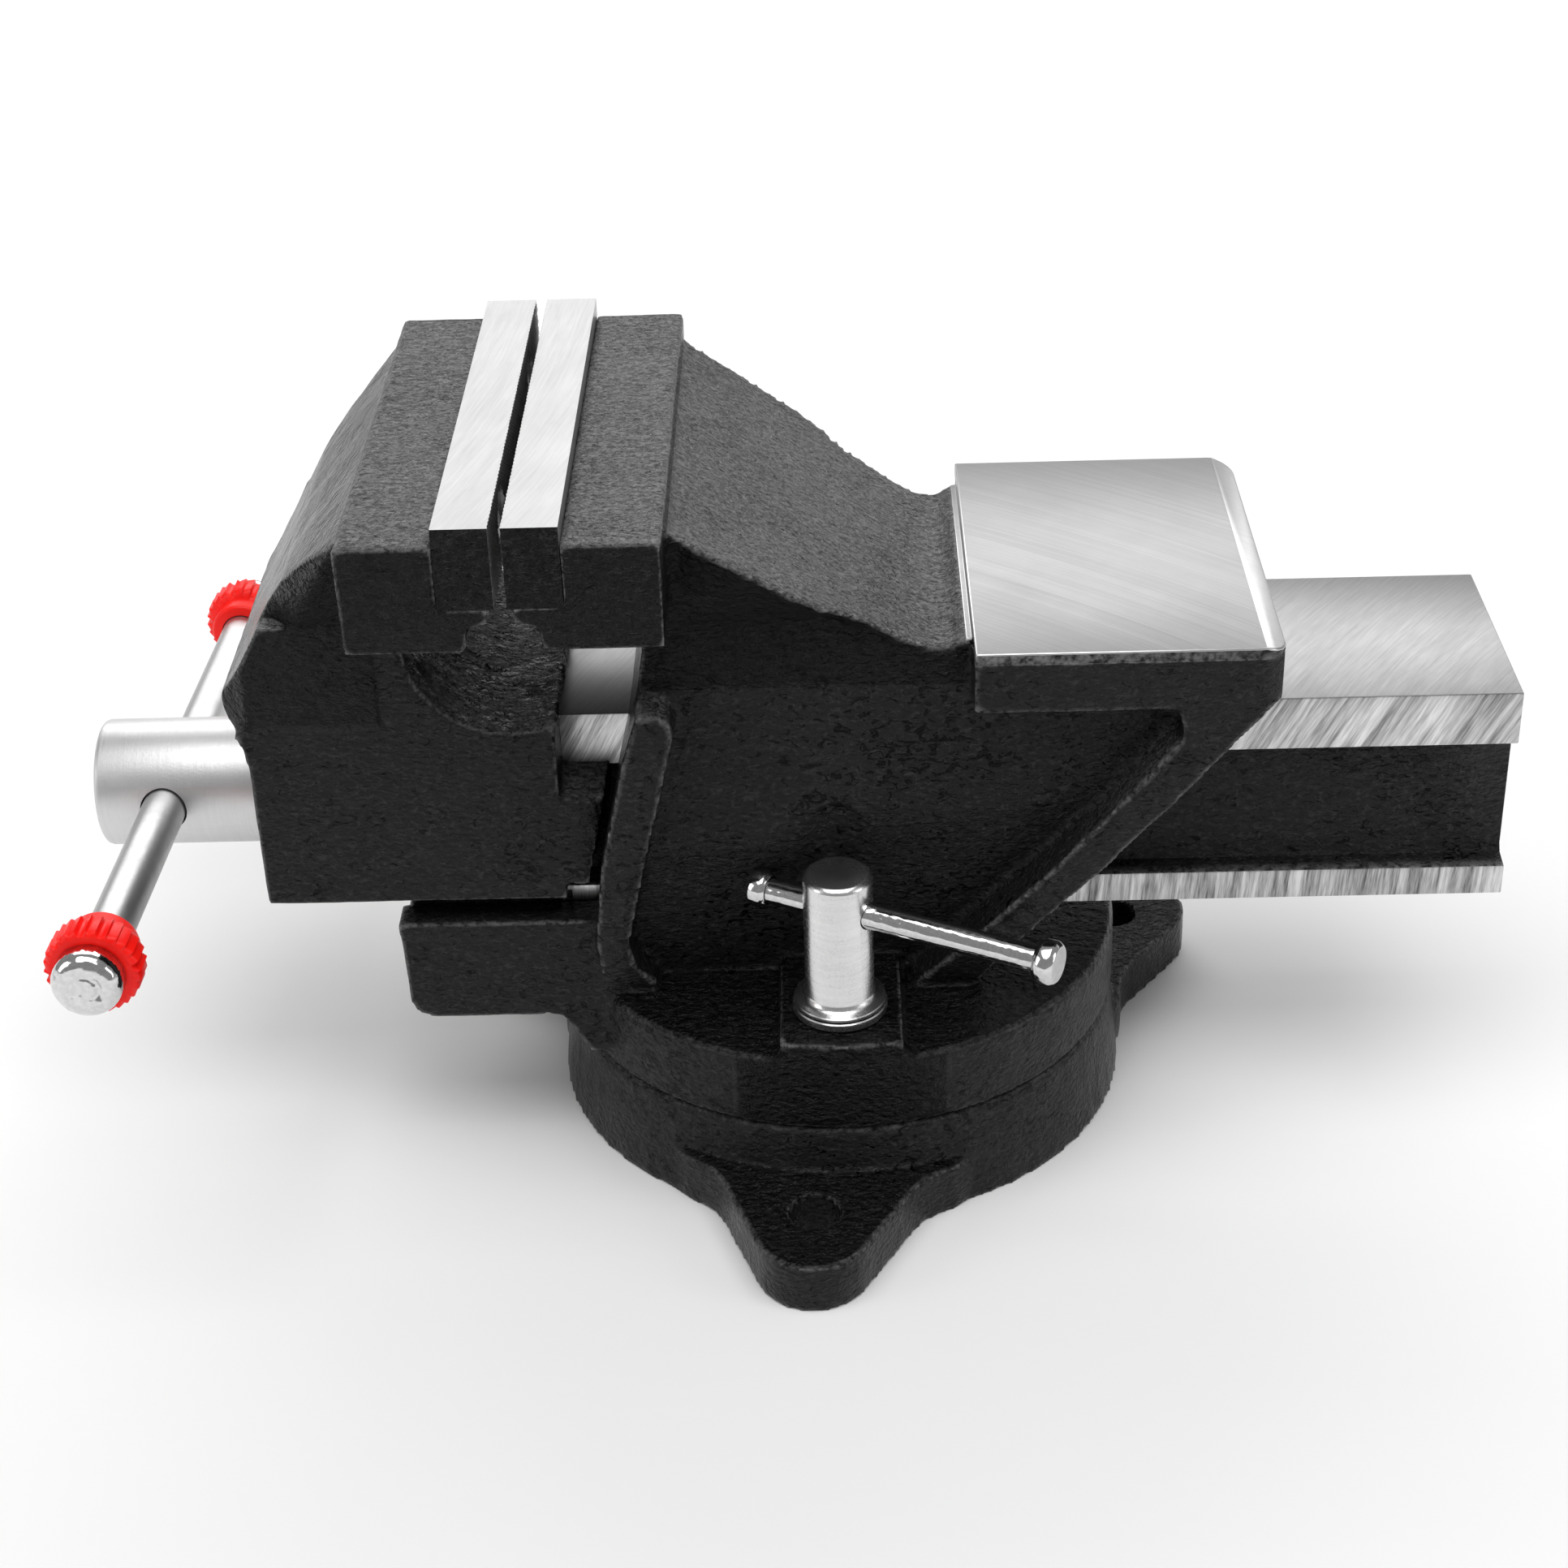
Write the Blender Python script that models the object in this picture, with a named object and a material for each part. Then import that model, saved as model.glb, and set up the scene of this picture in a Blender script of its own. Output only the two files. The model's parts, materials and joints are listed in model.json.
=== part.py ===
"""Swivel-base bench vise with 150 mm jaws, an anvil and a sliding cross handle.

Frame: origin on the swivel axis at the bottom of the base, +X towards the anvil, +Z up.
Every dimension is in millimetres; the helpers turn it into metres with MM.
"""
import math

import bmesh
import bpy
from mathutils import Matrix, Vector

MM = 0.001
FIT = 0.3              # gap left between two pieces that touch

# Jaws
GAP_X = -80.8          # plane midway between the two jaw plates
JAW_WIDTH = 150.0
JAW_OPENING_AT_REST = 2.4
PLATE_THICKNESS = 13.9
PLATE_BOTTOM = 187.8
PLATE_TOP = 209.3
PLATE_SCREW_Y = 45.0
PLATE_SCREW_Z = 198.0
PLATE_SCREW_R = 4.0
HEAD_REACH = 40.2      # from the gap plane to the outer face of a jaw head
HEAD_BOTTOM = 175.1
HEAD_TOP = 204.5

# Body walls and the necks that carry the heads
BODY_HALF = 46.5

# Slide
SLIDE_HALF = 35.1
SLIDE_TOP = 135.2
SLIDE_BOTTOM = 72.4
SLIDE_END = 182.3
SLIDE_START = -118.0
WEB_HALF = 28.0
UPPER_BAND_BOTTOM = 119.8
LOWER_BAND_TOP = 81.3
CAVITY_HALF = 16.5
CAVITY_TOP = 116.0
CHANNEL_CLEARANCE = 0.4

# Front jaw
FRONT_FACE = -154.9
FRONT_REAR_FACE = -73.3
FRONT_BOTTOM = 84.0
FRONT_WALL_INSIDE = -141.0
THROAT_X = -84.3
THROAT_Z = 163.3
THROAT_R = 27.0
FRONT_LEDGE = 168.5

# Neck between the rear head and the anvil: x, half-width of its edge, height of its edge
REAR_NECK = (
    (-38.0, 63.1, 199.6), (-20.0, 61.6, 187.6), (-8.0, 60.0, 179.8), (-2.0, 58.0, 175.6),
    (4.0, 53.4, 171.7), (10.0, 50.8, 168.0), (16.0, 49.4, 164.0), (22.0, 48.0, 160.6),
    (26.0, 47.2, 159.1), (30.0, 46.8, 158.7),
)

# Anvil
ANVIL_FRONT = 36.2
ANVIL_REAR = 115.6
ANVIL_HALF = 58.4
ANVIL_BOTTOM = 145.1
ANVIL_TOP = 162.9

# Swivel
BASE_BOTTOM_R = 82.0
BASE_TOP_R = 79.0
BASE_TOP = 28.9
FLANGE_BOTTOM = 29.3
FLANGE_TOP = 51.7
FLANGE_R = 79.4
FLOOR_BOTTOM = 45.0    # top of the pocket under the floor for the spindle nut's bolt head
LUG_ANGLES = (-94.7, 28.5, 146.9)
LUG_HEIGHT = 15.0
LUG_TIP_R = 15.6
LUG_TIP_CENTRE = 104.2
BENCH_HOLE_R = 6.7
BENCH_HOLE_CENTRE = 96.5
PIVOT_R = 10.0

# Lock bolts
LOCK_Y = 59.6
LOCK_PAD_TOP = 56.2
LOCK_BOLT_R = 6.0
LOCK_NUT_R = 9.35
LOCK_NUT_BOTTOM = 59.3
LOCK_COLLAR_R = 12.5
LOCK_NUT_TOP = 99.2
LOCK_BAR_Z = 88.2
LOCK_BAR_R = 3.55
LOCK_OUTER_CAP_R = 6.0
LOCK_INNER_CAP_R = 5.0
LOCK_BAR_ANGLE = -27.0
LOCK_BAR_SHORT = 23.2  # from the nut's axis to the middle of the near cap
LOCK_BAR_LONG = 60.5
T_HEAD_HALF = 10.0
T_HEAD_BOTTOM = 12.0
T_HEAD_TOP = 20.4

# Spindle
SPINDLE_Z = 97.0
SPINDLE_R = 12.0
SPINDLE_HEAD_R = 17.8
SPINDLE_HEAD_END = -206.3
SPINDLE_HEAD_SHOULDER = -158.5
SPINDLE_TAIL = 150.0
NUT_FRONT = -49.0
NUT_REAR = -12.0
NUT_BOLT_X = -30.5
PIN_X = -119.6

# Handle
HANDLE_X = -186.7
HANDLE_R = 6.0
HANDLE_HOLE_R = 6.5
HANDLE_TILT = 2.07     # near end up
HANDLE_SLANT = 1.2     # play of the bar in its hole
HANDLE_SHIFT = 4.5     # how far the bar has slid to the far side
RING_MIDDLE = 101.5    # from the middle of the bar to the middle of a ring's flange
RING_R = 12.5
RING_HALF = 4.6
RING_HUB_R = 9.4
KNOB_R = 9.1
KNOB_END = 114.2


# ---------------------------------------------------------------- helpers

def clear_scene():
    for obj in list(bpy.data.objects):
        bpy.data.objects.remove(obj, do_unlink=True)


def finish_material(name, colour, roughness, metallic):
    material = bpy.data.materials.new(name)
    material.use_nodes = True
    shader = material.node_tree.nodes["Principled BSDF"]
    shader.inputs["Base Color"].default_value = (*colour, 1.0)
    shader.inputs["Roughness"].default_value = roughness
    shader.inputs["Metallic"].default_value = metallic
    return material


def empty(name, location=(0, 0, 0), rotation=(0, 0, 0), parent=None):
    """A joint's frame, at a place in millimetres and a rotation in degrees."""
    obj = bpy.data.objects.new(name, None)
    obj.location = Vector(location) * MM
    obj.rotation_euler = [math.radians(angle) for angle in rotation]
    obj.parent = parent
    bpy.context.collection.objects.link(obj)
    return obj


def add_object(name, bm, material=None, parent=None, location=(0, 0, 0), smooth=False):
    """Turn a bmesh in millimetres into an object in metres."""
    bmesh.ops.recalc_face_normals(bm, faces=bm.faces)
    bmesh.ops.scale(bm, vec=(MM, MM, MM), verts=bm.verts)
    mesh = bpy.data.meshes.new(name)
    bm.to_mesh(mesh)
    bm.free()
    if smooth:
        mesh.shade_smooth()
        mesh.set_sharp_from_angle(angle=math.radians(35))
    obj = bpy.data.objects.new(name, mesh)
    obj.location = Vector(location) * MM
    obj.parent = parent
    if material:
        mesh.materials.append(material)
    bpy.context.collection.objects.link(obj)
    return obj


def arc(cx, cy, radius, start, end, steps):
    """Points on a circle from one angle to another, in degrees."""
    points = []
    for step in range(steps + 1):
        angle = math.radians(start + (end - start) * step / steps)
        points.append((cx + radius * math.cos(angle), cy + radius * math.sin(angle)))
    return points


def rounded(corners, steps=4):
    """An outline whose corners (u, v, radius) are replaced by tangent arcs."""
    outline = []
    for index, (u, v, radius) in enumerate(corners):
        corner = Vector((u, v))
        if not radius:
            outline.append(corner)
            continue
        before = (Vector(corners[index - 1][:2]) - corner).normalized()
        after = (Vector(corners[(index + 1) % len(corners)][:2]) - corner).normalized()
        half = math.acos(max(-1.0, min(1.0, before.dot(after)))) / 2
        reach = radius / math.tan(half)
        centre = corner + (before + after).normalized() * radius / math.sin(half)
        first = corner + before * reach - centre
        last = corner + after * reach - centre
        sweep = first.angle_signed(last)
        for step in range(steps + 1):
            turn = Matrix.Rotation(-sweep * step / steps, 2)
            outline.append(centre + turn @ first)
    return [tuple(point) for point in outline]


def prism(outline, axis, start, end):
    """An outline extruded along an axis."""
    place = {
        "X": lambda u, v: (start, u, v),
        "Y": lambda u, v: (u, start, v),
        "Z": lambda u, v: (u, v, start),
    }[axis]
    step = {"X": (end - start, 0, 0), "Y": (0, end - start, 0), "Z": (0, 0, end - start)}[axis]
    bm = bmesh.new()
    face = bm.faces.new([bm.verts.new(place(u, v)) for u, v in outline])
    extruded = bmesh.ops.extrude_face_region(bm, geom=[face])
    moved = [item for item in extruded["geom"] if isinstance(item, bmesh.types.BMVert)]
    bmesh.ops.translate(bm, vec=step, verts=moved)
    return bm


def loft(sections):
    """A solid through cross-sections (x, outline) that have equal counts of points."""
    bm = bmesh.new()
    rings = [[bm.verts.new((x, y, z)) for y, z in outline] for x, outline in sections]
    for first, second in zip(rings, rings[1:]):
        for index in range(len(first)):
            previous = index - 1
            bm.faces.new((first[previous], first[index], second[index], second[previous]))
    bmesh.ops.triangulate(bm, faces=bm.faces)
    bm.faces.new(rings[0])
    bm.faces.new(rings[-1])
    return bm


def box(x0, x1, y0, y1, z0, z1):
    return prism([(x0, y0), (x1, y0), (x1, y1), (x0, y1)], "Z", z0, z1)


def turned(profile, axis="Z", segments=32, closed=False):
    """A profile of (radius, along) points turned about an axis through the origin."""
    bm = bmesh.new()
    verts = [bm.verts.new((radius, 0, along)) for radius, along in profile]
    pairs = list(zip(verts, verts[1:]))
    if closed:
        pairs.append((verts[-1], verts[0]))
    edges = [bm.edges.new(pair) for pair in pairs if pair[0].co.x > 0 or pair[1].co.x > 0]
    bmesh.ops.spin(
        bm, geom=verts + edges, axis=(0, 0, 1), cent=(0, 0, 0),
        angle=math.tau, steps=segments, use_merge=True,
    )
    bmesh.ops.remove_doubles(bm, verts=bm.verts, dist=1e-4)
    poles = [vert for vert in bm.verts if vert.co.xy.length < 1e-3]
    bmesh.ops.dissolve_verts(bm, verts=poles)
    turn = {"X": Matrix.Rotation(math.pi / 2, 3, "Y"), "Y": Matrix.Rotation(-math.pi / 2, 3, "X")}
    if axis in turn:
        bmesh.ops.rotate(bm, cent=(0, 0, 0), matrix=turn[axis], verts=bm.verts)
    return bm


def rod(radius, start, end, axis="Z", segments=24, chamfer=0.0):
    """A round bar between two places on its axis."""
    profile = [(0, start), (radius - chamfer, start)]
    if chamfer:
        profile += [(radius, start + chamfer), (radius, end - chamfer)]
    profile += [(radius - chamfer, end), (0, end)]
    return turned(profile, axis, segments)


def tube(inner, outer, start, end, axis="Z", segments=24, chamfer=0.0):
    """A ring between two places on its axis, with chamfered outer edges."""
    profile = [(inner, start), (outer - chamfer, start)]
    if chamfer:
        profile += [(outer, start + chamfer), (outer, end - chamfer)]
    profile += [(outer - chamfer, end), (inner, end)]
    return turned(profile, axis, segments, closed=True)


def moved(bm, x=0.0, y=0.0, z=0.0, turn=0.0):
    """A bmesh turned about Z in degrees, then moved."""
    bmesh.ops.rotate(
        bm, cent=(0, 0, 0), matrix=Matrix.Rotation(math.radians(turn), 3, "Z"), verts=bm.verts)
    bmesh.ops.translate(bm, vec=(x, y, z), verts=bm.verts)
    return bm


def apply_tool(target, operation, solid):
    """Add a Boolean modifier and hide its tool: an object, or a bmesh in the target's frame."""
    tool = solid
    if isinstance(solid, bmesh.types.BMesh):
        name = f"{target.name}_tool_{len(target.modifiers):02d}"
        tool = add_object(name, solid, None, target.parent, target.location / MM)
    tool.hide_render = True
    tool.display_type = "WIRE"
    modifier = target.modifiers.new(operation.title(), "BOOLEAN")
    modifier.operation = operation
    modifier.solver = "EXACT"
    modifier.object = tool


def join(target, *solids):
    for solid in solids:
        apply_tool(target, "UNION", solid)


def cut(target, *solids):
    for solid in solids:
        apply_tool(target, "DIFFERENCE", solid)


def from_gap(side, distance):
    """X of a plane at a distance from the gap plane; side is 1 for the rear jaw."""
    return GAP_X + side * distance


# ---------------------------------------------------------------- shared shapes

def mirrored(right):
    """A closed outline from its right half, which runs upward as (y, z) points."""
    return right + [(-y, z) for y, z in reversed(right)]


def jaw_head(side):
    """Jaw head with the seat for its plate and the relief under the gap."""
    seat = JAW_OPENING_AT_REST / 2 + PLATE_THICKNESS + FIT
    corners = [
        (2.9, PLATE_BOTTOM - FIT, 0),
        (seat, PLATE_BOTTOM - FIT, 0),
        (seat, HEAD_TOP, 0),
        (HEAD_REACH, HEAD_TOP, 1.2),
        (HEAD_REACH - 0.4, HEAD_BOTTOM, 2.0),
        (9.6, HEAD_BOTTOM, 2.0),
        (8.6, HEAD_BOTTOM + 7.4, 2.4),
        (3.4, HEAD_BOTTOM + 7.6, 1.0),
    ]
    outline = [(from_gap(side, u), z) for u, z in rounded(corners, 3)]
    return prism(outline, "Y", -JAW_WIDTH / 2, JAW_WIDTH / 2)


def plate_screw_pocket(side, y):
    """Blind hole behind a jaw plate for one of its screws."""
    start = from_gap(side, JAW_OPENING_AT_REST / 2 + PLATE_THICKNESS)
    end = from_gap(side, JAW_OPENING_AT_REST / 2 + PLATE_THICKNESS + 12.0)
    bm = rod(PLATE_SCREW_R + FIT, min(start, end), max(start, end), "X", 16)
    return moved(bm, y=y, z=PLATE_SCREW_Z)


# ---------------------------------------------------------------- swivel base

def lug_outline():
    """Plan of a bolting lug along +X, from inside the base to its round tip."""
    root = arc(0, 0, BASE_TOP_R - 5, 30, -30, 4)
    tip = arc(LUG_TIP_CENTRE, 0, LUG_TIP_R, -66.0, 66.0, 10)
    flank = [(66.0, -43.5), (71.0, -40.8), (74.6, -37.4), (77.6, -33.0), (81.0, -28.8), (85.5, -25.9),
             (93.0, -22.6)]
    return root + flank + tip + [(x, -y) for x, y in reversed(flank)]


def swivel_base(material):
    """Round base with an undercut ring groove for the lock bolts and three lugs."""
    neck = 6.8
    cavity = 11.0
    profile = [
        (0, 0), (20, 0), (21, 3), (69, 3), (70, 0), (BASE_BOTTOM_R, 0),
        (BASE_TOP_R, BASE_TOP - 1), (BASE_TOP_R - 1, BASE_TOP),
        (LOCK_Y + neck, BASE_TOP), (LOCK_Y + neck, 21), (LOCK_Y + cavity, 21),
        (LOCK_Y + cavity, 11), (LOCK_Y - cavity, 11), (LOCK_Y - cavity, 21),
        (LOCK_Y - neck, 21), (LOCK_Y - neck, BASE_TOP),
        (PIVOT_R + FIT, BASE_TOP), (PIVOT_R + FIT, 13), (0, 13),
    ]
    base = add_object("swivel_base", turned(profile, "Z", 60), material, smooth=True)
    for angle in LUG_ANGLES:
        join(base, moved(prism(lug_outline(), "Z", 0, LUG_HEIGHT), turn=angle))
    for angle in LUG_ANGLES:
        hole = moved(rod(BENCH_HOLE_R, -1, LUG_HEIGHT + 1, segments=24), x=BENCH_HOLE_CENTRE)
        cut(base, moved(hole, turn=angle))
    bolt_entry = box(LOCK_Y - cavity + 0.4, LOCK_Y + cavity - 0.4, -11, 11, 20, BASE_TOP + 1)
    cut(base, bolt_entry)
    return base


def pivot_pin(material):
    """Upright pin pressed in the base, which the rear jaw turns about."""
    pin = rod(PIVOT_R, 13 + FIT, 44.5, segments=32, chamfer=1.2)
    return add_object("pivot_pin", pin, material, smooth=True)


# ---------------------------------------------------------------- rear jaw

def rear_side_profile():
    """Side view of the rear jaw between its ribs, from the head round to the foot."""
    neck = [(x, z) for x, _, z in REAR_NECK]
    return [
        (-60.0, 190.0), (-60.0, 203.0), (-44.0, 203.0), *neck,
        (34.0, 161.4), (38.0, 162.0), (60.0, 162.0),
        (112.0, 150.0), (112.0, 145.0), (79.9, 107.0), (54.2, 77.0), (44.0, 64.0),
        (30.0, FLOOR_BOTTOM + 0.2), (-66.0, FLOOR_BOTTOM + 0.2),
        (-65.9, 72.4), (-63.0, 98.0), (-55.6, 131.2), (-50.6, 150.0),
        (-48.6, 164.0), (-46.8, 172.0), (-43.5, 178.0),
    ]


def rear_section(x, half, top):
    """Cross-section of the rear jaw: narrow foot, upright walls, neck flared to its edge."""
    rise = 0.144 * (x + 140.0)
    fold = min(169.2 + 0.139 * x, top - 5.0)
    return mirrored([
        (34.8, 0.0), (34.8, 33.0 + rise), (BODY_HALF, 84.0 + rise), (BODY_HALF, fold),
        (half, top + 0.3), (half, 240.0),
    ])


def rear_envelope():
    """Solid that the side view of the rear jaw is cut to."""
    first, last = REAR_NECK[0], REAR_NECK[-1]
    stations = [(-140.0, *first[1:]), *REAR_NECK, (180.0, *last[1:])]
    return loft([(x, rear_section(x, half, top)) for x, half, top in stations])


def rib_section():
    """Cross-section that the ribs stay inside: flush with the anvil, drawn in at the foot."""
    return mirrored([
        (43.5, 45.0), (45.0, 52.0), (50.8, 66.0), (56.6, 95.0),
        (ANVIL_HALF, 125.0), (ANVIL_HALF, 150.0),
    ])


def front_rib():
    """Rib on each side of the slide's mouth."""
    corners = [
        (-50.8, 147.0, 1.5), (-39.8, 147.0, 6.0), (-51.2, 99.9, 0), (-57.0, 72.0, 5.0),
        (-55.0, 62.0, 4.0), (-50.5, 56.0, 0), (-50.5, 46.0, 0), (-64.0, 46.0, 0), (-65.9, 72.4, 0),
        (-63.0, 98.0, 0), (-55.6, 131.2, 0),
    ]
    return rounded(corners, 4)


def rear_rib():
    """Slanting rib from the back of the anvil down to the flange."""
    corners = [
        (113.0, 146.0, 0), (79.9, 107.0, 0), (54.2, 77.0, 0), (44.0, 64.0, 0), (36.0, 50.0, 0),
        (18.0, 50.0, 0), (31.0, 66.0, 8.0), (42.6, 79.3, 0), (69.2, 111.0, 0),
        (90.4, 137.4, 5.0), (88.0, 146.0, 0),
    ]
    return rounded(corners, 4)


def anvil_block():
    """Anvil with round rear corners and a chamfered rear edge."""
    plan = rounded([
        (ANVIL_FRONT, -ANVIL_HALF, 0), (ANVIL_REAR, -ANVIL_HALF, 7.0),
        (ANVIL_REAR, ANVIL_HALF, 7.0), (ANVIL_FRONT, ANVIL_HALF, 0),
    ], 5)
    return prism(plan, "Z", ANVIL_BOTTOM, ANVIL_TOP)


def anvil_chamfer():
    """Wedge that bevels the anvil's rear top edge."""
    outline = [(ANVIL_REAR - 5.8, ANVIL_TOP + 0.01), (ANVIL_REAR + 1, ANVIL_TOP - 2.2),
               (ANVIL_REAR + 1, ANVIL_TOP + 5), (ANVIL_REAR - 5.8, ANVIL_TOP + 5)]
    return prism(outline, "Y", -70, 70)


def slide_guide():
    """Trough under the front of the slide, cast in one with the rear jaw."""
    corners = [
        (-120.2, 77.0, 1.0), (-118.8, 46.1, 6.0), (-77.0, 46.1, 5.0), (-70.0, 33.0, 0),
        (-60.0, 33.0, 0), (-60.0, 77.0, 0),
    ]
    return prism(rounded(corners, 4), "Y", -BODY_HALF, BODY_HALF)


def swivel_flange():
    """Round flange with the bore for the pivot pin."""
    return turned([
        (PIVOT_R + FIT, FLANGE_BOTTOM), (FLANGE_R - 1, FLANGE_BOTTOM),
        (FLANGE_R, FLANGE_BOTTOM + 1), (FLANGE_R, FLANGE_TOP - 1.2),
        (FLANGE_R - 1.2, FLANGE_TOP), (PIVOT_R + FIT, FLANGE_TOP),
    ], "Z", 60, closed=True)


def lock_pad(side):
    """Raised pad on the flange under one lock nut."""
    reach = FLANGE_R - 0.6
    rim = arc(0, 0, reach, -90 - 11.9, -90 + 12.4, 8)
    outline = [(-16.3, -28.0)] + rim + [(16.9, -28.0)]
    return moved(prism(outline, "Z", 48, LOCK_PAD_TOP + 0.3), turn=0 if side < 0 else 180)


def lock_relief(side):
    """Room for the lock nut where it stands against the body wall."""
    profile = [(0, LOCK_PAD_TOP), (15.6, LOCK_PAD_TOP), (15.6, 106.0)]
    profile += arc(3.6, 106.0, 12.0, 18, 90, 4) + [(0, 118.0)]
    return moved(turned(profile, "Z", 32), y=side * LOCK_Y)


def rear_jaw_body(material, parent):
    """Rear jaw, anvil, slide housing, guide trough and swivel flange in one casting."""
    bm = prism(rear_side_profile(), "Y", -70, 70)
    body = add_object("rear_jaw_body", bm, material, parent, smooth=True)
    apply_tool(body, "INTERSECT", rear_envelope())
    ribs = add_object("rear_jaw_ribs", prism(front_rib(), "Y", -62, 62))
    join(ribs, prism(rear_rib(), "Y", -62, 62))
    apply_tool(ribs, "INTERSECT", prism(rib_section(), "X", -75, 118))
    join(body, ribs)
    join(body, swivel_flange(), slide_guide(), anvil_block(), jaw_head(1), lock_pad(-1), lock_pad(1))
    channel = SLIDE_HALF + CHANNEL_CLEARANCE
    cut(
        body,
        anvil_chamfer(),
        box(-140, 140, -channel, channel,
            SLIDE_BOTTOM - CHANNEL_CLEARANCE, SLIDE_TOP + CHANNEL_CLEARANCE),
        moved(rod(4.3, 40, 80, segments=16), x=NUT_BOLT_X),
        moved(rod(9.0, FLANGE_BOTTOM - 1, FLOOR_BOTTOM, segments=24), x=NUT_BOLT_X),
        lock_relief(-1),
        lock_relief(1),
    )
    for side in (-1, 1):
        cut(body, moved(rod(LOCK_BOLT_R + 0.4, FLANGE_BOTTOM - 1, 60, segments=24), y=side * LOCK_Y))
        cut(body, plate_screw_pocket(1, side * PLATE_SCREW_Y))
    return body


def jaw_plate(name, side, material, parent):
    """Serrated steel jaw plate with two countersunk screw holes."""
    face = from_gap(side, JAW_OPENING_AT_REST / 2)
    back = from_gap(side, JAW_OPENING_AT_REST / 2 + PLATE_THICKNESS)
    half = JAW_WIDTH / 2
    solid = box(min(face, back), max(face, back), -half, half, PLATE_BOTTOM, PLATE_TOP)
    plate = add_object(name, solid, material, parent)
    for y in (-PLATE_SCREW_Y, PLATE_SCREW_Y):
        cut(plate, screw_shape(side, y, FIT, 1.0))
    return plate


def screw_shape(side, y, gap, overrun):
    """Countersunk screw along X, grown by a gap when it is used as a hole."""
    depth = 1.2
    cone = 4.2
    head = PLATE_SCREW_R + cone + gap
    shank = PLATE_SCREW_R + gap
    length = PLATE_THICKNESS + 9.0
    profile = [(0, depth - overrun), (head, depth - overrun), (head, depth + 0.6),
               (shank, depth + 0.6 + cone), (shank, length), (0, length)]
    bm = turned(profile, "X", 16)
    if side < 0:
        bmesh.ops.rotate(bm, cent=(0, 0, 0), matrix=Matrix.Rotation(math.pi, 3, "Z"), verts=bm.verts)
    return moved(bm, x=from_gap(side, JAW_OPENING_AT_REST / 2), y=y, z=PLATE_SCREW_Z)


def plate_screw(name, side, y, material, parent):
    screw = add_object(name, screw_shape(side, y, 0.0, 0.0), material, parent, smooth=True)
    socket = turned([(0, -1), (2.6, -1), (2.6, 4.6), (0, 4.6)], "X", 6)
    if side < 0:
        bmesh.ops.rotate(
            socket, cent=(0, 0, 0), matrix=Matrix.Rotation(math.pi, 3, "Z"), verts=socket.verts)
    cut(screw, moved(socket, x=from_gap(side, JAW_OPENING_AT_REST / 2), y=y, z=PLATE_SCREW_Z))
    return screw


def spindle_nut(material, parent):
    """Nut block that stands on the floor of the housing, inside the hollow slide."""
    corners = [
        (-14.0, SLIDE_BOTTOM + 0.1, 0), (14.0, SLIDE_BOTTOM + 0.1, 0),
        (14.0, SPINDLE_Z + 16.0, 9.0), (-14.0, SPINDLE_Z + 16.0, 9.0),
    ]
    nut = add_object(
        "spindle_nut", prism(rounded(corners, 4), "X", NUT_FRONT, NUT_REAR), material, parent)
    bore = rod(SPINDLE_R + FIT, NUT_FRONT - 1, NUT_REAR + 1, "X", 32)
    bolt_hole = rod(4.3, SLIDE_BOTTOM - 1, 83.0, segments=16)
    cut(nut, moved(bore, z=SPINDLE_Z), moved(bolt_hole, x=NUT_BOLT_X))
    return nut


def hex_bolt(name, shank_r, head_r, head_height, length, material, parent, location):
    """Hexagon bolt standing head down, with its head's top at its origin."""
    bolt = add_object(name, rod(shank_r, -0.5, length, segments=16, chamfer=0.4),
                      material, parent, location, smooth=True)
    head = rod(head_r, -head_height, 0, segments=6)
    join(bolt, head)
    return bolt


# ---------------------------------------------------------------- front jaw

def front_side_profile():
    """Side view of the front jaw's body, brow and neck."""
    throat = arc(THROAT_X, THROAT_Z, THROAT_R, -66.0, -178.0, 12)
    return [
        (FRONT_FACE, FRONT_BOTTOM), (FRONT_REAR_FACE, FRONT_BOTTOM), (FRONT_REAR_FACE, 138.6),
        *throat,
        (-111.3, 178.0), (-111.3, 202.0), (-120.8, 202.0),
        (-122.0, 200.6), (-128.0, 194.7), (-134.0, 188.7), (-140.0, 181.5), (-144.0, 175.3),
        (-148.0, 168.3), (-152.0, 160.8), (-156.4, 153.3), (-160.6, 147.0), (-161.4, 144.6),
        (-161.2, 141.6), (-159.8, 138.6), (-157.0, 136.0), (-155.6, 132.6), (FRONT_FACE, 127.0),
    ]


def front_section():
    """Cross-section of the front jaw: upright walls, then a neck that leans out."""
    return mirrored([
        (BODY_HALF - 0.3, 60.0), (BODY_HALF, 120.0), (BODY_HALF, FRONT_LEDGE),
        (BODY_HALF + 0.55 * (240.0 - FRONT_LEDGE), 240.0),
    ])


def neck_trim(side):
    """Wedge that tapers one side of the front neck towards the brow."""
    plan = [(-118.0, 68.2), (-144.0, 41.5), (-152.0, 37.8), (-170.0, 36.5), (-170.0, 90.0), (-118.0, 90.0)]
    return prism([(x, side * y) for x, y in plan], "Z", FRONT_LEDGE, 215)


def brow_trim(side):
    """Wedge that bevels one side of the brow below the neck."""
    plan = [(-146.5, 53.5), (-163.5, 36.5), (-170.0, 90.0)]
    return prism([(x, side * y) for x, y in plan], "Z", 137, FRONT_LEDGE + 1)


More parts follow.
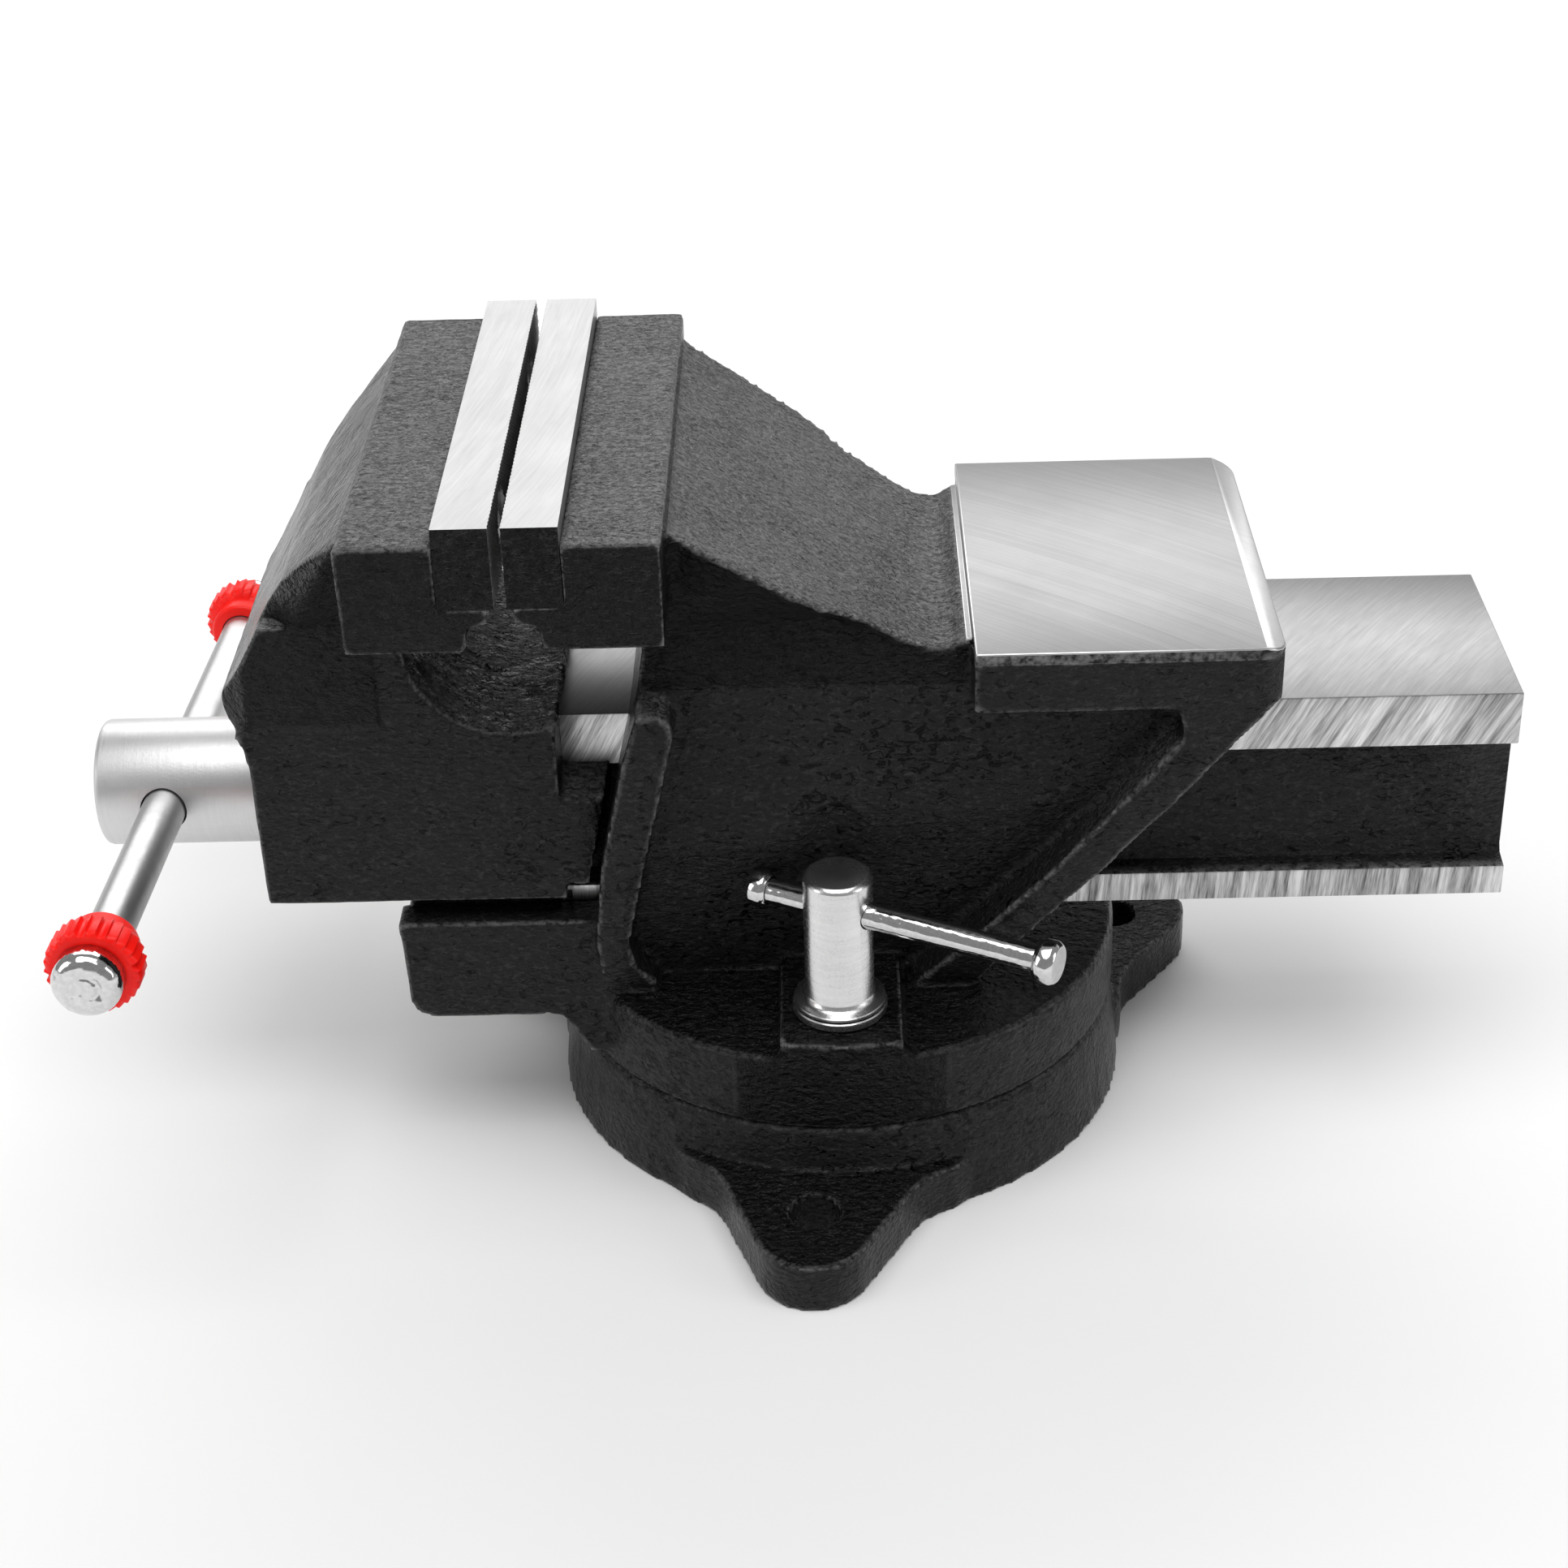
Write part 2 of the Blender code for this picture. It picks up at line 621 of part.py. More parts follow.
def wall_fillet(side):
    """Carries the side of the front wall on beside the slide, up to the rear jaw's rib."""
    plan = [(-75.0, 27.0), (-75.0, BODY_HALF), (-65.0, BODY_HALF), (-63.0, 45.9),
            (-61.6, 44.4), (-60.9, 42.0), (-60.6, 38.0), (-60.6, 27.0)]
    slope = [(-78.0, 85.0), (-67.8, 85.0), (-65.3, 98.0), (-60.4, 120.4), (-60.4, 125.0), (-78.0, 125.0)]
    section = [(26.0, 85.0), (48.0, 85.0), (48.0, 114.0), (SLIDE_HALF + 2, 120.4), (26.0, 120.4)]
    fillet = add_object("wall_fillet", prism([(x, side * y) for x, y in plan], "Z", 88.9, 121.0))
    apply_tool(fillet, "INTERSECT", prism(slope, "Y", -60, 60))
    apply_tool(fillet, "INTERSECT", prism([(side * y, z) for y, z in section], "X", -80, -55))
    return fillet


def slide_section():
    """Cross-section of the slide: an upturned channel with machined bands."""
    right = [
        (CAVITY_HALF, SLIDE_BOTTOM), (SLIDE_HALF, SLIDE_BOTTOM), (SLIDE_HALF, LOWER_BAND_TOP),
        (WEB_HALF, LOWER_BAND_TOP + 1.5), (WEB_HALF, UPPER_BAND_BOTTOM - 2.0),
        (SLIDE_HALF, UPPER_BAND_BOTTOM), (SLIDE_HALF, SLIDE_TOP),
    ]
    return mirrored(right) + [(-CAVITY_HALF, CAVITY_TOP), (CAVITY_HALF, CAVITY_TOP)]


def front_jaw_body(material, parent):
    """Front jaw and its hollow slide in one casting."""
    bm = prism(front_side_profile(), "Y", -70, 70)
    body = add_object("front_jaw_body", bm, material, parent, smooth=True)
    apply_tool(body, "INTERSECT", prism(front_section(), "X", -180, -60))
    cut(body, neck_trim(-1), neck_trim(1), brow_trim(-1), brow_trim(1))
    cavity = box(FRONT_WALL_INSIDE, -70, -CAVITY_HALF, CAVITY_HALF, 60, CAVITY_TOP)
    cut(body, cavity)
    join(body, prism(slide_section(), "X", SLIDE_START, SLIDE_END), jaw_head(-1),
         wall_fillet(-1), wall_fillet(1))
    shank_hole = rod(SPINDLE_R + FIT, FRONT_FACE - 5, FRONT_WALL_INSIDE + 5, "X", 32)
    cut(body, moved(shank_hole, z=SPINDLE_Z))
    for side in (-1, 1):
        cut(body, plate_screw_pocket(-1, side * PLATE_SCREW_Y))
    return body


def thrust_washer(material, parent):
    ring = tube(SPINDLE_R + FIT, 18.6, SPINDLE_HEAD_SHOULDER + FIT, FRONT_FACE - FIT, "X", 32, 0.6)
    return add_object("thrust_washer", ring, material, parent, (0, 0, SPINDLE_Z), smooth=True)


def spindle_spring(material, parent):
    """Coil spring that draws the spindle's shoulder back against the front wall."""
    coil_r = 13.9
    wire_r = 1.2
    turns = 4.0
    first = FRONT_WALL_INSIDE + wire_r + FIT
    last = PIN_X - 5.4 - wire_r
    steps = int(turns * 16)
    curve = bpy.data.curves.new("spindle_spring", "CURVE")
    curve.dimensions = "3D"
    curve.bevel_depth = wire_r * MM
    curve.bevel_resolution = 1
    curve.use_fill_caps = True
    spline = curve.splines.new("POLY")
    spline.points.add(steps)
    for index, point in enumerate(spline.points):
        angle = math.tau * turns * index / steps
        x = first + (last - first) * index / steps
        centre = Vector((x, coil_r * math.cos(angle), coil_r * math.sin(angle))) * MM
        point.co = (*centre, 1.0)
    spring = bpy.data.objects.new("spindle_spring", curve)
    spring.location = Vector((0, 0, SPINDLE_Z)) * MM
    spring.parent = parent
    curve.materials.append(material)
    bpy.context.collection.objects.link(spring)
    return spring


def spring_washer(material, parent):
    ring = tube(SPINDLE_R + FIT, 15.6, PIN_X - 5.0, PIN_X - 2.4, "X", 24)
    return add_object("spring_washer", ring, material, parent, (0, 0, SPINDLE_Z), smooth=True)


# ---------------------------------------------------------------- spindle and handle

def lead_screw(material, parent, handle_axis):
    """Spindle with its cross-drilled head; the profile runs from the tail to the head."""
    profile = [
        (0, SPINDLE_TAIL), (SPINDLE_R - 2.5, SPINDLE_TAIL), (SPINDLE_R, SPINDLE_TAIL - 2.5),
        (SPINDLE_R, SPINDLE_HEAD_SHOULDER), (SPINDLE_HEAD_R - 0.6, SPINDLE_HEAD_SHOULDER),
        (SPINDLE_HEAD_R, SPINDLE_HEAD_SHOULDER - 0.6),
    ]
    profile += [
        (SPINDLE_HEAD_R, SPINDLE_HEAD_END + 2.2), (SPINDLE_HEAD_R - 0.7, SPINDLE_HEAD_END + 0.7),
        (SPINDLE_HEAD_R - 2.2, SPINDLE_HEAD_END), (0, SPINDLE_HEAD_END),
    ]
    screw = add_object("lead_screw", turned(profile, "X", 40), material, parent, smooth=True)
    hole = add_object("handle_hole", rod(HANDLE_HOLE_R, -30, 30, "Y", 32), parent=handle_axis)
    cut(screw, hole, moved(rod(2.2, -20, 20, segments=16), x=PIN_X))
    return screw


def retaining_pin(material, parent):
    pin = moved(rod(1.9, -15.2, 15.2, segments=16, chamfer=0.4), x=PIN_X)
    return add_object("retaining_pin", pin, material, parent, smooth=True)


def handle_bar(material, parent):
    """Plain bar with reduced ends for its knobs."""
    end = RING_MIDDLE + RING_HALF
    spigot = 4.0
    half = [(spigot, end + 5.0), (spigot, end), (HANDLE_R, end)]
    profile = [(0, -end - 5.0)] + [(r, -y) for r, y in half]
    profile += list(reversed(half)) + [(0, end + 5.0)]
    bar = turned(profile, "Y", 24)
    return add_object("handle_bar", bar, material, parent, (0, HANDLE_SHIFT, 0), smooth=True)


def grip_ring(name, side, material, parent):
    """Plastic ring with a grooved flange and a smaller hub towards the middle."""
    outer = RING_MIDDLE + RING_HALF
    inner = RING_MIDDLE - RING_HALF
    profile = [
        (HANDLE_R + FIT, inner - 6.0), (RING_HUB_R - 0.8, inner - 6.0), (RING_HUB_R, inner - 5.2),
        (RING_HUB_R, inner - 1.0), (RING_R - 1.2, inner), (RING_R, inner + 1.0),
        (RING_R, outer - 1.0), (RING_R - 1.0, outer), (HANDLE_R + FIT, outer),
    ]
    placed = [(r, side * y) for r, y in profile]
    ring = turned(placed, "Y", 28, closed=True)
    return add_object(name, ring, material, parent, (0, HANDLE_SHIFT, 0), smooth=True)


def end_knob(name, side, material, parent):
    """Button pressed on the end of the bar, with a dimple where it was riveted."""
    inner = RING_MIDDLE + RING_HALF + FIT
    edge = arc(KNOB_R - 4.0, KNOB_END - 4.0, 4.0, 0, 90, 4)
    profile = [(4.0 + FIT, inner), (KNOB_R, inner)] + edge
    profile += [(3.2, KNOB_END), (2.6, KNOB_END - 0.8), (0, KNOB_END - 0.8)]
    profile += [(0, inner + 5.6), (4.0 + FIT, inner + 5.6)]
    placed = [(r, side * y) for r, y in profile]
    knob = turned(placed, "Y", 24, closed=True)
    return add_object(name, knob, material, parent, (0, HANDLE_SHIFT, 0), smooth=True)


# ---------------------------------------------------------------- swivel locks

def lock_bolt(name, material, parent, location):
    """T-bolt whose square head slides in the base's ring groove."""
    bolt = add_object(name, rod(LOCK_BOLT_R, T_HEAD_TOP - 1, 80.0, segments=24, chamfer=0.8),
                      material, parent, location, smooth=True)
    half = T_HEAD_HALF
    join(bolt, box(-half, half, -half, half, T_HEAD_BOTTOM, T_HEAD_TOP))
    return bolt


def lock_washer(name, material, parent, location):
    ring = tube(LOCK_BOLT_R + 0.5, 12.9, LOCK_PAD_TOP + FIT, LOCK_NUT_BOTTOM - FIT,
                segments=28, chamfer=0.4)
    return add_object(name, ring, material, parent, location, smooth=True)


def lock_nut(name, material, parent, bar_axis):
    """Tall round nut on a collar, blind at the top, cross-drilled for its bar."""
    profile = [
        (LOCK_BOLT_R + FIT, LOCK_NUT_BOTTOM), (LOCK_COLLAR_R, LOCK_NUT_BOTTOM),
        (LOCK_COLLAR_R, LOCK_NUT_BOTTOM + 1.1), (LOCK_NUT_R + 0.5, LOCK_NUT_BOTTOM + 2.3),
        (LOCK_NUT_R, LOCK_NUT_BOTTOM + 3.0), (LOCK_NUT_R, LOCK_NUT_TOP - 1.4),
        (LOCK_NUT_R - 1.2, LOCK_NUT_TOP), (0, LOCK_NUT_TOP),
        (0, 81.0), (LOCK_BOLT_R + FIT, 81.0),
    ]
    nut = add_object(name, turned(profile, "Z", 28, closed=True), material, parent, smooth=True)
    hole = add_object(f"{name}_hole", rod(LOCK_BAR_R + FIT, -14, 14, "X", 24), parent=bar_axis)
    cut(nut, hole)
    return nut


def lock_bar(name, material, parent):
    start = -LOCK_BAR_SHORT
    bar = rod(LOCK_BAR_R, start, LOCK_BAR_LONG, "X", 24, chamfer=0.4)
    return add_object(name, bar, material, parent, smooth=True)


def lock_cap(name, end, material, parent):
    """Flared cap on one end of a lock bar; end is -1 for the short side."""
    middle = LOCK_BAR_LONG if end > 0 else LOCK_BAR_SHORT
    radius = LOCK_OUTER_CAP_R if end > 0 else LOCK_INNER_CAP_R
    bore = LOCK_BAR_R + FIT
    profile = [
        (bore, middle - 2.9), (radius - 0.9, middle - 2.9), (radius, middle - 1.6), (radius, middle + 1.6),
        (radius - 0.8, middle + 2.9), (0, middle + 2.9), (0, middle + FIT), (bore, middle + FIT),
    ]
    placed = [(r, end * x) for r, x in profile]
    cap = turned(placed, "X", 18, closed=True)
    return add_object(name, cap, material, parent, smooth=True)


# ---------------------------------------------------------------- assembly

def build_lock(label, side, metals, swivel):
    """Bolt, washer, nut and bar of the lock on one side."""
    place = (0, side * LOCK_Y, 0)
    lock_bolt(f"lock_bolt_{label}", metals["zinc"], swivel, place)
    lock_washer(f"lock_washer_{label}", metals["zinc"], swivel, place)
    turn = LOCK_BAR_ANGLE if side < 0 else LOCK_BAR_ANGLE + 180
    nut_axis = empty(f"lock_axis_{label}", place, (0, 0, turn), swivel)
    bar_axis = empty(f"lock_bar_axis_{label}", (0, 0, LOCK_BAR_Z), parent=nut_axis)
    lock_nut(f"lock_nut_{label}", metals["chrome"], nut_axis, bar_axis)
    lock_bar(f"lock_bar_{label}", metals["chrome"], bar_axis)
    lock_cap(f"lock_bar_cap_inner_{label}", -1, metals["chrome"], bar_axis)
    lock_cap(f"lock_bar_cap_outer_{label}", 1, metals["chrome"], bar_axis)


def build_spindle(metals, plastic, slide):
    """Spindle, its retaining parts and the cross handle."""
    spindle_axis = empty("spindle_axis", (0, 0, SPINDLE_Z), parent=slide)
    handle_turn = (-HANDLE_TILT, 0, -HANDLE_SLANT)
    handle_axis = empty("handle_axis", (HANDLE_X, 0, 0), handle_turn, spindle_axis)
    lead_screw(metals["chrome"], spindle_axis, handle_axis)
    retaining_pin(metals["zinc"], spindle_axis)
    handle_bar(metals["chrome"], handle_axis)
    for label, side in (("near", -1), ("far", 1)):
        grip_ring(f"handle_ring_{label}", side, plastic, handle_axis)
        end_knob(f"handle_knob_{label}", side, metals["chrome"], handle_axis)
    thrust_washer(metals["zinc"], slide)
    spindle_spring(metals["zinc"], slide)
    spring_washer(metals["zinc"], slide)


def build_jaw_plates(steel, zinc, swivel, slide):
    for jaw, side, parent in (("rear", 1, swivel), ("front", -1, slide)):
        jaw_plate(f"{jaw}_jaw_plate", side, steel, parent)
        for label, y in (("near", -PLATE_SCREW_Y), ("far", PLATE_SCREW_Y)):
            plate_screw(f"{jaw}_plate_screw_{label}", side, y, zinc, parent)


def main():
    clear_scene()
    paint = finish_material("black_enamel", (0.012, 0.012, 0.013), 0.35, 0.0)
    steel = finish_material("machined_steel", (0.62, 0.62, 0.62), 0.35, 1.0)
    cast_iron = finish_material("cast_iron", (0.10, 0.10, 0.10), 0.6, 1.0)
    red = finish_material("red_plastic", (0.75, 0.02, 0.01), 0.4, 0.0)
    metals = {
        "chrome": finish_material("bright_steel", (0.72, 0.72, 0.72), 0.2, 1.0),
        "zinc": finish_material("zinc_steel", (0.55, 0.56, 0.58), 0.4, 1.0),
    }
    swivel = empty("swivel_axis")
    slide = empty("jaw_slide_axis", parent=swivel)
    swivel_base(paint)
    pivot_pin(metals["zinc"])
    rear_jaw_body(paint, swivel)
    spindle_nut(cast_iron, swivel)
    hex_bolt("spindle_nut_bolt", 4.0, 7.4, 5.3, 34.0, metals["zinc"], swivel,
             (NUT_BOLT_X, 0, FLOOR_BOTTOM - FIT))
    build_jaw_plates(steel, metals["zinc"], swivel, slide)
    for label, side in (("near", -1), ("far", 1)):
        build_lock(label, side, metals, swivel)
    front_jaw_body(paint, slide)
    build_spindle(metals, red, slide)


main()
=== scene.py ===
"""Bench vise: sand-cast enamelled castings, machined steel, a threaded spindle and red grips.

Lengths are in millimetres in the shapes and are turned into metres by MM.
"""

import json
import math
import random

import bmesh
import bpy
import numpy as np
from mathutils import Matrix, Vector, noise


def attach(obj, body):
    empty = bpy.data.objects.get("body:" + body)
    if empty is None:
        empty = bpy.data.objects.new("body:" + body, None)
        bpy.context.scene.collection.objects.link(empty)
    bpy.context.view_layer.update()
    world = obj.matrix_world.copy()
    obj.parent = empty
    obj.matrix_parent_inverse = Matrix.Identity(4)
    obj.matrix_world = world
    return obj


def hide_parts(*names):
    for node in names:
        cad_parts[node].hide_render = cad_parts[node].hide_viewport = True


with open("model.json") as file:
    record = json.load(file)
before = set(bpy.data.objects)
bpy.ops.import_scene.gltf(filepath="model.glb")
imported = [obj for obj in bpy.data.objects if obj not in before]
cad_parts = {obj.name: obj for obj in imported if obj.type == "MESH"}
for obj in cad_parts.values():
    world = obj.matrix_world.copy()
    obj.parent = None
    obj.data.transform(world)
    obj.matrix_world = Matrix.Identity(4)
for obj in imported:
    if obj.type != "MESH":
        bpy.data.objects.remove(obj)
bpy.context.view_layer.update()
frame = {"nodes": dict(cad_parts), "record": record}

MM = 0.001
NODES = frame["nodes"]
BODY_OF = {n: b for b, members in frame["record"]["behaviour"]["bodies"].items() for n in members}

# Jaws
GAP_X = -80.8
JAW_OPENING = 2.4
PLATE_THICKNESS = 13.9
PLATE_HALF = 75.0
PLATE_BOTTOM = 187.8
PLATE_TOP = 209.3
PLATE_SCREW_Y = 45.0
PLATE_SCREW_Z = 198.0
SEAT_OVERLAP = 0.4      # hides the seam between a plate and its painted seat
TOOTH_PITCH = 2.1
TOOTH_DEPTH = 0.55

# Slide
SLIDE_HALF = 35.1
SLIDE_TOP = 135.2
SLIDE_BOTTOM = 72.4
SLIDE_END = 182.3
WEB_HALF = 28.0
UPPER_BAND_BOTTOM = 119.8
LOWER_BAND_TOP = 81.3
CAVITY_HALF = 16.5
CAVITY_TOP = 116.0
FRONT_WALL_REAR = -73.3
FILLET_END = -60.2
STUB_INSET = 0.6         # the casting's stub of the slide hides inside the machined one
THROAT = Vector((-84.3, 0, 163.3))
THROAT_R = 27.0

# Anvil
ANVIL_FRONT = 36.2
ANVIL_REAR = 115.6
ANVIL_TOP = 162.9
ANVIL_SKIN = 3.4

# Spindle and handle
SPINDLE_Z = 97.0
SPINDLE_R = 12.0
HEAD_R = 17.8
HEAD_END = -206.3
HEAD_SHOULDER = -158.5
SPINDLE_TAIL = 150.0
PIN_X = -119.6
PIN_HOLE_R = 2.2
THREAD_START = -44.0
THREAD_LEAD = 5.0
THREAD_DEPTH = 1.6
HANDLE_X = -186.7
HANDLE_R = 6.0
HANDLE_HOLE_R = 6.5
HANDLE_TILT = 2.07
HANDLE_SLANT = 1.2
HANDLE_SHIFT = 4.5
RING_MIDDLE = 101.5
RING_R = 12.5
RING_HALF = 4.6
RING_HUB_R = 9.4
RING_TEETH = 28
KNOB_R = 9.1
KNOB_END = 114.2

# Swivel locks
LOCK_Y = 59.6
LOCK_NUT_R = 9.35
LOCK_NUT_BOTTOM = 59.3
LOCK_COLLAR_R = 12.5
LOCK_NUT_TOP = 99.2
LOCK_BOLT_R = 6.3
LOCK_BAR_Z = 88.2
LOCK_BAR_R = 3.55
LOCK_OUTER_CAP_R = 6.0
LOCK_INNER_CAP_R = 5.0
LOCK_BAR_ANGLE = -27.0
LOCK_BAR_SHORT = 23.2
LOCK_BAR_LONG = 60.5

# Camera: place in metres, angles in degrees, lens in millimetres
CAMERA_PLACE = (0.00124, -0.69603, 0.50635)
CAMERA_AZIMUTH = 1.306
CAMERA_ELEVATION = 30.798
CAMERA_ROLL = -1.915
CAMERA_LENS = 65.634

# Studio lamps: name, place, aim and size in metres, radiance
SOFTBOXES = [
    ("back_softbox", (0.0, 2.2, 1.5), (0, 0, 0.1), (3.4, 1.7), 2.4),
    ("top_softbox", (0.0, -0.7, 2.4), (0, -0.3, 0.0), (2.4, 1.8), 3.4),
    ("left_softbox", (-2.4, -0.9, 1.0), (0, 0, 0.1), (1.0, 1.6), 2.0),
    ("right_softbox", (2.4, -0.9, 1.0), (0, 0, 0.1), (1.0, 1.6), 2.0),
]
WORLD_STRENGTH = 0.30

# Paint
PAINT_SPECULAR = 0.14
# near-black painted shade in the paint's wrinkle creases
CREASE_SHADE_LEVEL = 0.0004
PAINT_LEVEL = 0.011
# lighter grey of the painted glints along the paint's grain
GLINT_LEVEL = 0.026
# grey of the painted sheen on upward faces
TOP_SHEEN_LEVEL = 0.120
# grey of the painted highlight along sharp edges
EDGE_HIGHLIGHT_LEVEL = 0.20

rng = random.Random(7)


# ---------------------------------------------------------------- node helpers

class Tree:
    """A material's node tree with short calls for the nodes used here."""

    def __init__(self, name):
        self.material = bpy.data.materials.new(name)
        self.material.use_nodes = True
        self.tree = self.material.node_tree
        self.shader = self.tree.nodes["Principled BSDF"]
        self.position = self.add("ShaderNodeTexCoord").outputs["Object"]

    def add(self, kind, **settings):
        node = self.tree.nodes.new(kind)
        for key, value in settings.items():
            setattr(node, key, value)
        return node

    def feed(self, socket, value):
        if isinstance(value, bpy.types.NodeSocket):
            self.tree.links.new(value, socket)
        else:
            socket.default_value = value

    def stretch(self, scale, turn=(0, 0, 0), source=None):
        """Position multiplied by a scale on each axis, after a turn in degrees."""
        node = self.add("ShaderNodeMapping", vector_type="TEXTURE")
        self.feed(node.inputs["Vector"], source or self.position)
        node.inputs["Rotation"].default_value = [math.radians(a) for a in turn]
        node.inputs["Scale"].default_value = [1 / s for s in scale]
        return node.outputs["Vector"]

    def noise(self, scale, detail=3.0, rough=0.55, source=None, distortion=0.0):
        node = self.add("ShaderNodeTexNoise")
        self.feed(node.inputs["Vector"], source or self.position)
        node.inputs["Scale"].default_value = scale
        node.inputs["Detail"].default_value = detail
        node.inputs["Roughness"].default_value = rough
        node.inputs["Distortion"].default_value = distortion
        return node.outputs["Fac"]

    def cells(self, scale, source=None, smooth=0.4):
        node = self.add("ShaderNodeTexVoronoi", feature="SMOOTH_F1")
        self.feed(node.inputs["Vector"], source or self.position)
        node.inputs["Scale"].default_value = scale
        node.inputs["Smoothness"].default_value = smooth
        return node.outputs["Distance"]

    def remap(self, value, low, high, to_low=0.0, to_high=1.0):
        node = self.add("ShaderNodeMapRange")
        self.feed(node.inputs["Value"], value)
        node.inputs["From Min"].default_value = low
        node.inputs["From Max"].default_value = high
        node.inputs["To Min"].default_value = to_low
        node.inputs["To Max"].default_value = to_high
        return node.outputs["Result"]

    def math(self, operation, a, b=0.0):
        node = self.add("ShaderNodeMath", operation=operation)
        self.feed(node.inputs[0], a)
        self.feed(node.inputs[1], b)
        return node.outputs[0]

    def mix(self, factor, a, b):
        node = self.add("ShaderNodeMix", data_type="RGBA")
        self.feed(node.inputs["Factor"], factor)
        self.feed(node.inputs["A"], (*a, 1) if isinstance(a, tuple) else a)
        self.feed(node.inputs["B"], (*b, 1) if isinstance(b, tuple) else b)
        return node.outputs["Result"]

    def part(self, vector, index):
        split = self.add("ShaderNodeSeparateXYZ")
        self.feed(split.inputs[0], vector)
        return split.outputs[index]

    def attribute(self, name):
        return self.add("ShaderNodeAttribute", attribute_name=name).outputs["Fac"]

    def bump(self, height, distance, strength=1.0):
        node = self.add("ShaderNodeBump")
        self.feed(node.inputs["Height"], height)
        self.feed(node.inputs["Strength"], strength)
        node.inputs["Distance"].default_value = distance * MM
        return node.outputs["Normal"]

    def finish(self, colour, roughness, normal=None, metallic=0.0, specular=0.5):
        s = self.shader.inputs
        self.feed(s["Base Color"], colour)
        self.feed(s["Roughness"], roughness)
        s["Metallic"].default_value = metallic
        s["Specular IOR Level"].default_value = specular
        if normal is not None:
            self.feed(s["Normal"], normal)
        return self.material


def grey(level):
    return (level, level, level)


# ---------------------------------------------------------------- materials

def leather_space(t):
    """Position squeezed so that the paint's wrinkles run a little flatter than high."""
    return t.stretch((0.75, 1.0, 1.25))


def painted_top_sheen(t, flat):
    """Mask of the fine painted sheen on the upward faces of the upper castings, standing in for their grey
    reflection of the overhead light.
    """
    face_up = t.remap(t.part(t.add("ShaderNodeNewGeometry").outputs["Normal"], 2), 0.35, 0.9)
    high = t.remap(t.part(t.position, 2), 0.10, 0.13)
    sheen_mask = t.math("MULTIPLY", face_up, high)
    return t.math("MULTIPLY", sheen_mask, t.remap(t.noise(820, 4.0, 0.7, flat, 0.9), 0.40, 0.60))


def enamel():
    """Glossy black paint over sand-cast iron; "coarse" marks the rougher faces, which are also painted
    darker as shade.
    """
    t = Tree("black_enamel")
    coarse = t.attribute("coarse")
    flat = leather_space(t)
    leather = t.noise(640, 3.0, 0.55, flat, 0.4)
    patches = t.noise(26, 2.0)
    wrinkle_noise = t.noise(330, 3.0, 0.6, flat, 1.2)
    wrinkle_noise = t.math("SUBTRACT", wrinkle_noise, t.math("MULTIPLY", patches, 0.25))
    wrinkles = t.remap(wrinkle_noise, 0.245, 0.280)
    wrinkled = t.remap(patches, 0.42, 0.62, 0.15, 1.0)
    grain = t.noise(430, 3.0, 0.65, flat, 0.4)
    lumps = t.noise(110, 2.0, 0.5)
    fine = t.math("ADD", t.math("MULTIPLY", leather, 0.9),
                  t.math("MULTIPLY", t.math("MULTIPLY", wrinkles, wrinkled), 0.30))
    rough = t.math("MULTIPLY", t.math("MULTIPLY", grain, coarse), 2.6)
    normal = t.bump(t.math("ADD", t.math("ADD", fine, rough), lumps), 1.0)
    # painted highlight: thin ragged lighter lines along the sharp edges, standing in for the gloss catching
    # the light there
    ragged = t.remap(t.noise(520, 3.0, 0.6), 0.35, 0.60)
    crest = t.add("ShaderNodeNewGeometry").outputs["Pointiness"]
    edge = t.math("MULTIPLY", t.remap(crest, 0.525, 0.575), ragged)
    # painted glints: lighter streaks along the grain, standing in for highlights on the leathery paint
    glint_streaks = t.remap(t.noise(520, 4.0, 0.7, flat, 0.9), 0.52, 0.64)
    # painted shade: coarse faces take more of the near-black crease colour
    unshaded_share = t.math("SUBTRACT", 1.0, t.math("MULTIPLY", coarse, 0.7))
    skin = t.math("MULTIPLY", wrinkles, unshaded_share)
    # painted shade: the wrinkle creases are near black
    colour = t.mix(skin, grey(CREASE_SHADE_LEVEL), t.mix(glint_streaks, grey(PAINT_LEVEL), grey(GLINT_LEVEL)))
    # painted sheen: upward faces lightened towards grey as if reflecting the overhead light
    colour = t.mix(painted_top_sheen(t, flat), colour, grey(TOP_SHEEN_LEVEL))
    colour = t.mix(edge, colour, grey(EDGE_HIGHLIGHT_LEVEL))
    roughness = t.math("ADD", t.remap(patches, 0.3, 0.7, 0.15, 0.23), t.math("MULTIPLY", coarse, -0.03))
    return t.finish(colour, roughness, normal, specular=PAINT_SPECULAR)


